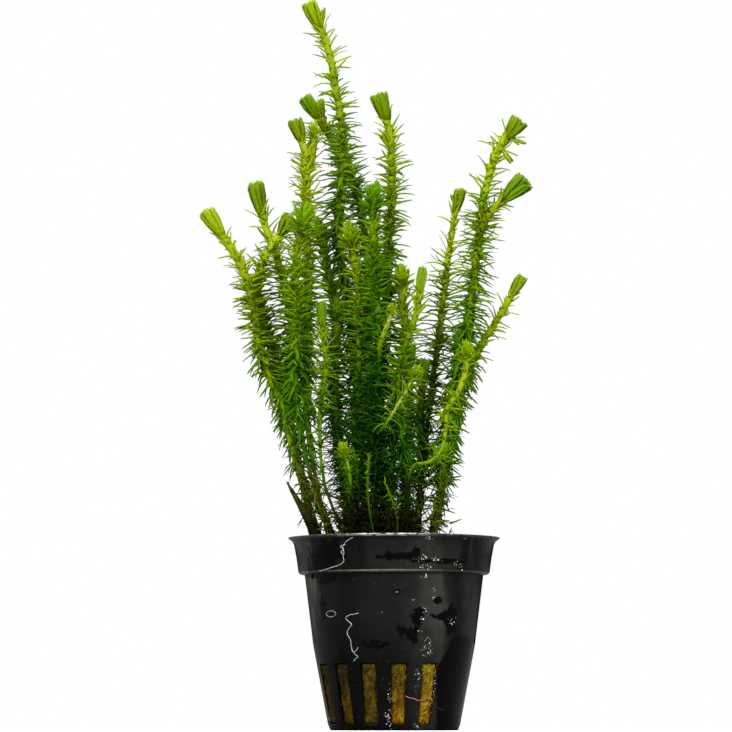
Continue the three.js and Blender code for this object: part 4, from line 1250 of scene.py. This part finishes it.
def pot_inside(outside):
    """The inside of the wall, from the outside's third point up."""
    inner = [(r - WALL, max(z, BASE_THICKNESS)) for r, z in outside[FIRST_INSIDE:]]
    inner[-3:] = [
        (BAND_TOP_RADIUS - 0.25, POT_HEIGHT - 1.2),
        (BAND_TOP_RADIUS + 0.1, POT_HEIGHT - 0.45),
        (BAND_TOP_RADIUS + 0.5, POT_HEIGHT - 0.15),
    ]
    return inner


def slot_centres():
    """The slots' middles in degrees, round the pot from the front towards the viewer's right."""
    steps = np.arange(SLOTS_IN_A_GROUP) - (SLOTS_IN_A_GROUP - 1) / 2
    return [middle + step * SLOT_PITCH for middle in SLOT_GROUP_MIDDLES for step in steps]


def pot_directions():
    """The directions of the wall's edges in degrees, each slot's sides among them, and whether a
    slot lies between each direction and the next."""
    slots = [(c - SLOT_WIDTH_DEGREES / 2, c + SLOT_WIDTH_DEGREES / 2) for c in slot_centres()]
    cuts = sorted(a % 360 for pair in slots for a in pair)
    directions = []
    for cut, after in zip(cuts, cuts[1:] + [cuts[0] + 360]):
        steps = max(1, round((after - cut) / POT_TURN_STEP))
        directions += [cut + (after - cut) * k / steps for k in range(steps)]
    in_slot = []
    for direction, after in zip(directions, directions[1:] + [directions[0] + 360]):
        middle = (direction + after) / 2
        in_slot.append(any((middle - low) % 360 < high - low for low, high in slots))
    return directions, in_slot


def drilled_base(bm, lower_rim, upper_rim):
    """The pot's base, with its oblong drains, between two rings of vertices."""
    def loop_edges(loop):
        return [bm.edges.get((a, b)) or bm.edges.new((a, b)) for a, b in zip(loop, loop[1:] + loop[:1])]

    holes = []
    for i in range(DRAINS):
        angle = 2 * math.pi * i / DRAINS
        cos, sin = math.cos(angle), math.sin(angle)
        corners = []
        for across, along in ((-1, -1), (1, -1), (1, 1), (-1, 1)):
            x = across * DRAIN_WIDTH / 2
            y = along * DRAIN_LENGTH / 2 - DRAIN_MIDDLE_RADIUS
            corners.append((x * cos - y * sin, x * sin + y * cos))
        holes.append([
            [bm.verts.new((x * MM, y * MM, z * MM)) for x, y in corners] for z in (0, BASE_THICKNESS)
        ])
    for level, rim in enumerate((lower_rim, upper_rim)):
        edges = loop_edges(rim)
        for hole in holes:
            edges += loop_edges(hole[level])
        bmesh.ops.triangle_fill(bm, edges=edges, use_beauty=True)
    for low, high in holes:
        for i in range(len(low)):
            j = (i + 1) % len(low)
            bm.faces.new((low[i], low[j], high[j], high[i]))


def slotted_wall(bm, outer, inner, slot_rows, in_slot):
    """The wall with its slots and lip, between rings of vertices, inner ones beside outer ones."""
    count = len(in_slot)
    for row in range(len(outer) - 1):
        for i in range(count):
            j = (i + 1) % count
            if row in slot_rows and in_slot[i]:
                continue
            bm.faces.new((outer[row][i], outer[row][j], outer[row + 1][j], outer[row + 1][i]))
            if row >= FIRST_INSIDE:
                bm.faces.new((inner[row][i], inner[row + 1][i], inner[row + 1][j], inner[row][j]))
    for row in slot_rows:
        for i in range(count):
            if in_slot[i] and not in_slot[i - 1]:
                bm.faces.new((outer[row][i], outer[row + 1][i], inner[row + 1][i], inner[row][i]))
            if not in_slot[i] and in_slot[i - 1]:
                bm.faces.new((outer[row][i], inner[row][i], inner[row + 1][i], outer[row + 1][i]))
    low, high = slot_rows[0], slot_rows[-1] + 1
    for i in range(count):
        j = (i + 1) % count
        if in_slot[i]:
            bm.faces.new((outer[low][i], inner[low][i], inner[low][j], outer[low][j]))
            bm.faces.new((outer[high][i], outer[high][j], inner[high][j], inner[high][i]))
        bm.faces.new((outer[-1][i], outer[-1][j], inner[-1][j], inner[-1][i]))


def pot_piece(material):
    directions, in_slot = pot_directions()
    turn = np.radians(directions)
    outside = pot_profile()
    bm = bmesh.new()

    def ring(radius, z):
        return [bm.verts.new((radius * math.sin(a) * MM, -radius * math.cos(a) * MM, z * MM)) for a in turn]

    outer = [ring(r, z) for r, z in outside]
    inner = [None] * FIRST_INSIDE + [ring(r, z) for r, z in pot_inside(outside)]
    slot_rows = [i for i, (_, z) in enumerate(outside) if SLOT_FOOT_Z - 0.01 <= z < SLOT_TOP_Z - 0.01]
    slotted_wall(bm, outer, inner, slot_rows, in_slot)
    drilled_base(bm, outer[0], inner[FIRST_INSIDE])
    bmesh.ops.recalc_face_normals(bm, faces=bm.faces)
    for edge in bm.edges:
        if len(edge.link_faces) == 2 and edge.calc_face_angle() > SHARP_EDGE:
            edge.smooth = False
    mesh = bpy.data.meshes.new("pot_moulding")
    bm.to_mesh(mesh)
    bm.free()
    piece = finished_piece("pot_moulding", mesh, material)
    bevel = piece.modifiers.new("bevel", "BEVEL")
    bevel.width = BEVEL * MM
    bevel.segments = 2
    bevel.limit_method = "ANGLE"
    bevel.angle_limit = SHARP_EDGE
    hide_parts("pot")


# Threads on the pot

def thread_curve(points, lift):
    """A curve over the outside of the pot's front, through (x, z) points."""
    radii, heights = zip(*pot_profile())
    places = []
    for x, z in points:
        radius = np.interp(z, heights, radii) + lift
        places.append((x, -math.sqrt(max(radius * radius - x * x, 0)), z))
    return centripetal(places, 10)


def thread_piece(name, curves, radius, material, end_share=0.5):
    """Thin threads as one mesh of tubes."""
    rng = np.random.default_rng(THREAD_SEED)
    threads = Gathered()
    for curve in curves:
        line = Line(curve)
        distances = np.linspace(0, line.length, max(8, int(line.length / THREAD_STEP)))
        radii = radius * rng.uniform(0.75, 1.2, len(distances))
        radii[[0, -1]] *= end_share
        vertices, faces, _ = tube(line, distances, radii, THREAD_SIDES)
        threads.add(vertices, faces)
    piece = threads.piece(name, material)


def add_threads():
    curves = [thread_curve(points, THREAD_RADIUS) for points in PALE_THREADS]
    pale = thread_material("pale_thread", PALE_THREAD, 0.35)
    thread_piece("pale_threads", curves, THREAD_RADIUS, pale)
    x, z, half_width, half_height = RING
    turn = np.linspace(0, 2 * math.pi, RING_POINTS)
    loop = [(x + half_width * math.cos(a), z + half_height * math.sin(a)) for a in turn]
    ring = thread_curve(loop, RING_THREAD_RADIUS)
    dull = thread_material("dull_thread", DULL_THREAD, 0.4)
    thread_piece("pale_ring", [ring], RING_THREAD_RADIUS, dull, 1.0)
    root = thread_curve(ROOT_THREAD, ROOT_THREAD_RADIUS)
    thread_piece("root_thread", [root], ROOT_THREAD_RADIUS, root_material(), 0.3)


# The mineral wool

def wool_radius(z):
    """The wool's outside, just inside the wall."""
    return wall_radius(z) - WALL - PLUG_GAP


def slot_swelling(degrees, z):
    """How far the wool swells through the slots, by its direction and height."""
    off = np.min([np.abs((degrees - c + 180) % 360 - 180) for c in slot_centres()], axis=0)
    sideways = np.clip((SLOT_WIDTH_DEGREES / 2 - 0.5 - off) / 1.3, 0, 1)
    upward = np.clip(min(z - SLOT_FOOT_Z - 0.15, SLOT_TOP_Z - 0.15 - z) / 0.5, 0, 1)
    return (WALL + PLUG_GAP - 0.35) * np.minimum(sideways, upward) ** 0.5


def wool_tone_and_shade(places):
    """How much lighter the wool is: darker towards the viewer's left, with painted shade behind the slots'
    tops.
    """
    left = np.clip((7 - places[:, 0]) / 20, 0, 1)
    high = np.clip((places[:, 2] - 4) / 12, 0, 1)
    foot = below(places, 4, 3)
    return 0.1 - 0.42 * left - 0.2 * left * high + 0.12 * foot * (1 - left)


def wool_block(material):
    """The plug itself: its side bulges a little at random, and its top is loose."""
    rng = np.random.default_rng(WOOL_SEED)
    turn = np.linspace(0, 2 * math.pi, WOOL_SIDES, endpoint=False)
    rings = []

    def add_ring(radius, z):
        height = np.broadcast_to(z, WOOL_SIDES)
        rings.append(np.column_stack([radius * np.sin(turn), radius * -np.cos(turn), height]))

    for z in np.arange(BASE_THICKNESS + PLUG_GAP, PLUG_TOP_Z - WOOL_ROW, WOOL_ROW):
        waves = 0.12 * np.sin(7 * turn + z) * np.sin(3 * turn - 0.6 * z)
        bulging = np.minimum(waves + rng.normal(0, 0.08, WOOL_SIDES), 0.2)
        add_ring(wool_radius(z) + slot_swelling(np.degrees(turn), z) + bulging, z)
    for share in WOOL_TOP_RINGS:
        loose = rng.normal(0, 0.25, WOOL_SIDES).clip(-0.4, 0.4)
        add_ring(wool_radius(PLUG_TOP_Z) * share, PLUG_TOP_Z - 0.5 + loose)
    vertices = np.vstack(rings)
    tone = rng.normal(0.5, 0.06, len(vertices)) + wool_tone_and_shade(vertices)
    piece = new_piece("wool_block", vertices, closed_walls(len(rings), WOOL_SIDES), material, {"tone": tone})
    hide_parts("mineral_wool_plug")


def fibre_in_slot(middle, rng):
    """Where a fibre lies behind a slot, and the direction that points out of the wool there."""
    angle = math.radians(middle + rng.uniform(-0.38, 0.38) * SLOT_WIDTH_DEGREES)
    z = rng.uniform(SLOT_FOOT_Z + 0.6, SLOT_TOP_Z - 0.4)
    radius = wool_radius(z) + WALL + PLUG_GAP - 0.3
    normal = np.array((math.sin(angle), -math.cos(angle), 0))
    return radius * normal + (0, 0, z), normal


def fibre_on_top(rng):
    """The same for a fibre on the wool's top."""
    radius = wool_radius(PLUG_TOP_Z) * math.sqrt(rng.random()) * 0.95
    angle = rng.uniform(0, 2 * math.pi)
    place = np.array((radius * math.sin(angle), -radius * math.cos(angle), PLUG_TOP_Z - 0.4))
    return place, np.array((0, 0, 1.0))


def add_fibre(fibres, middle, normal, rng):
    """A thin bowed fibre that lies on the wool, more often than not upright."""
    heading = rng.normal(0, 1, 3) + np.array((0, 0, 2.0 if rng.random() < 0.6 else 0))
    heading -= normal * heading.dot(normal)
    heading /= np.linalg.norm(heading)
    size = rng.uniform(0.8, 2.2)
    bow = rng.uniform(-0.35, 0.35) * size
    lift = rng.uniform(0.05, 0.28)
    steps = np.linspace(-0.5, 0.5, FIBRE_RINGS)[:, None]
    arch = 1 - 4 * steps ** 2
    curve = middle + heading * steps * size + np.cross(normal, heading) * bow * arch
    line = Line(curve + normal * (lift * arch - 0.1))
    radii = np.full(FIBRE_RINGS, rng.uniform(0.03, 0.07))
    vertices, faces, _ = tube(line, np.linspace(0, line.length, FIBRE_RINGS), radii, FIBRE_SIDES)
    fibres.add(vertices, faces, tone=rng.uniform(0.4, 0.85) + wool_tone_and_shade(vertices))


def wool_fibres(material):
    """Loose fibres on the plug behind the slots and on its top."""
    rng = np.random.default_rng(FIBRE_SEED)
    centres = slot_centres()
    fibres = Gathered("tone")
    for i in range(SLOT_FIBRES):
        add_fibre(fibres, *fibre_in_slot(centres[i % len(centres)], rng), rng)
    for _ in range(TOP_FIBRES):
        add_fibre(fibres, *fibre_on_top(rng), rng)
    piece = fibres.piece("wool_fibres", material)


# The stage

def add_floor():
    mesh = bpy.data.meshes.new("floor")
    corners = np.linspace(0, 2 * math.pi, FLOOR_SIDES, endpoint=False)
    rim = [(FLOOR_RADIUS * math.cos(a), FLOOR_RADIUS * math.sin(a), 0) for a in corners]
    mesh.from_pydata(rim, [], [tuple(range(FLOOR_SIDES))])
    n = Nodes(bpy.data.materials.new("floor"))
    seen = n.add("ShaderNodeLightPath").outputs["Is Camera Ray"]
    mesh.materials.append(n.finish(n.skin(n.mix(seen, FLOOR_AS_LIGHT, FLOOR_SEEN), 0.9, DULL)))
    piece = link("floor", mesh)


def add_world():
    """White to the camera. As light it is brighter behind and above, and black below the horizon, so
    that the pot's downward-facing side stays dark."""
    world = bpy.data.worlds.new("studio")
    bpy.context.scene.world = world
    n = Nodes(world)
    _, y, z = n.split(n.place("Generated"))
    soft = {"interpolation_type": "SMOOTHSTEP"}
    level = n.total(n.span(y, -0.2, 0.9, 0.0, WORLD_BEHIND, **soft), WORLD_FRONT)
    level = n.product(level, n.span(z, 0.0, 0.3, **soft))
    level = n.total(level, n.span(z, 0.1, 0.9, 0.0, WORLD_ABOVE, **soft))
    light = n.add("ShaderNodeBackground", {"Color": (1, 1, 1, 1), "Strength": level})
    white = n.add("ShaderNodeBackground", {"Color": (1, 1, 1, 1)})
    seen = n.add("ShaderNodeLightPath").outputs["Is Camera Ray"]
    both = n.add("ShaderNodeMixShader", {0: seen, 1: light.outputs[0], 2: white.outputs[0]})
    n.finish(both.outputs[0], "ShaderNodeOutputWorld")


def add_lamps():
    for name, place, size, power in LAMPS:
        data = bpy.data.lights.new(name, "AREA")
        data.size = size
        data.energy = power
        lamp = link(name, data)
        lamp.location = place
        right, back, up = np.array(LAMP_TARGET) - np.array(place)
        lamp.rotation_euler = (math.atan2(math.hypot(right, back), -up), 0, math.atan2(-right, back))


def build():
    add_floor()
    add_world()
    add_lamps()
    bpy.context.scene.view_settings.view_transform = "Standard"
    leaf = leaf_material()
    lines = shoot_lines()
    for seed, shoot in enumerate(SHOOTS):
        shoot_piece(shoot, lines[shoot["name"]], leaf, seed)
    dead_leaves(leaf)
    pot_piece(pot_material())
    wool = wool_material()
    wool_block(wool)
    wool_fibres(wool)
    add_threads()


build()
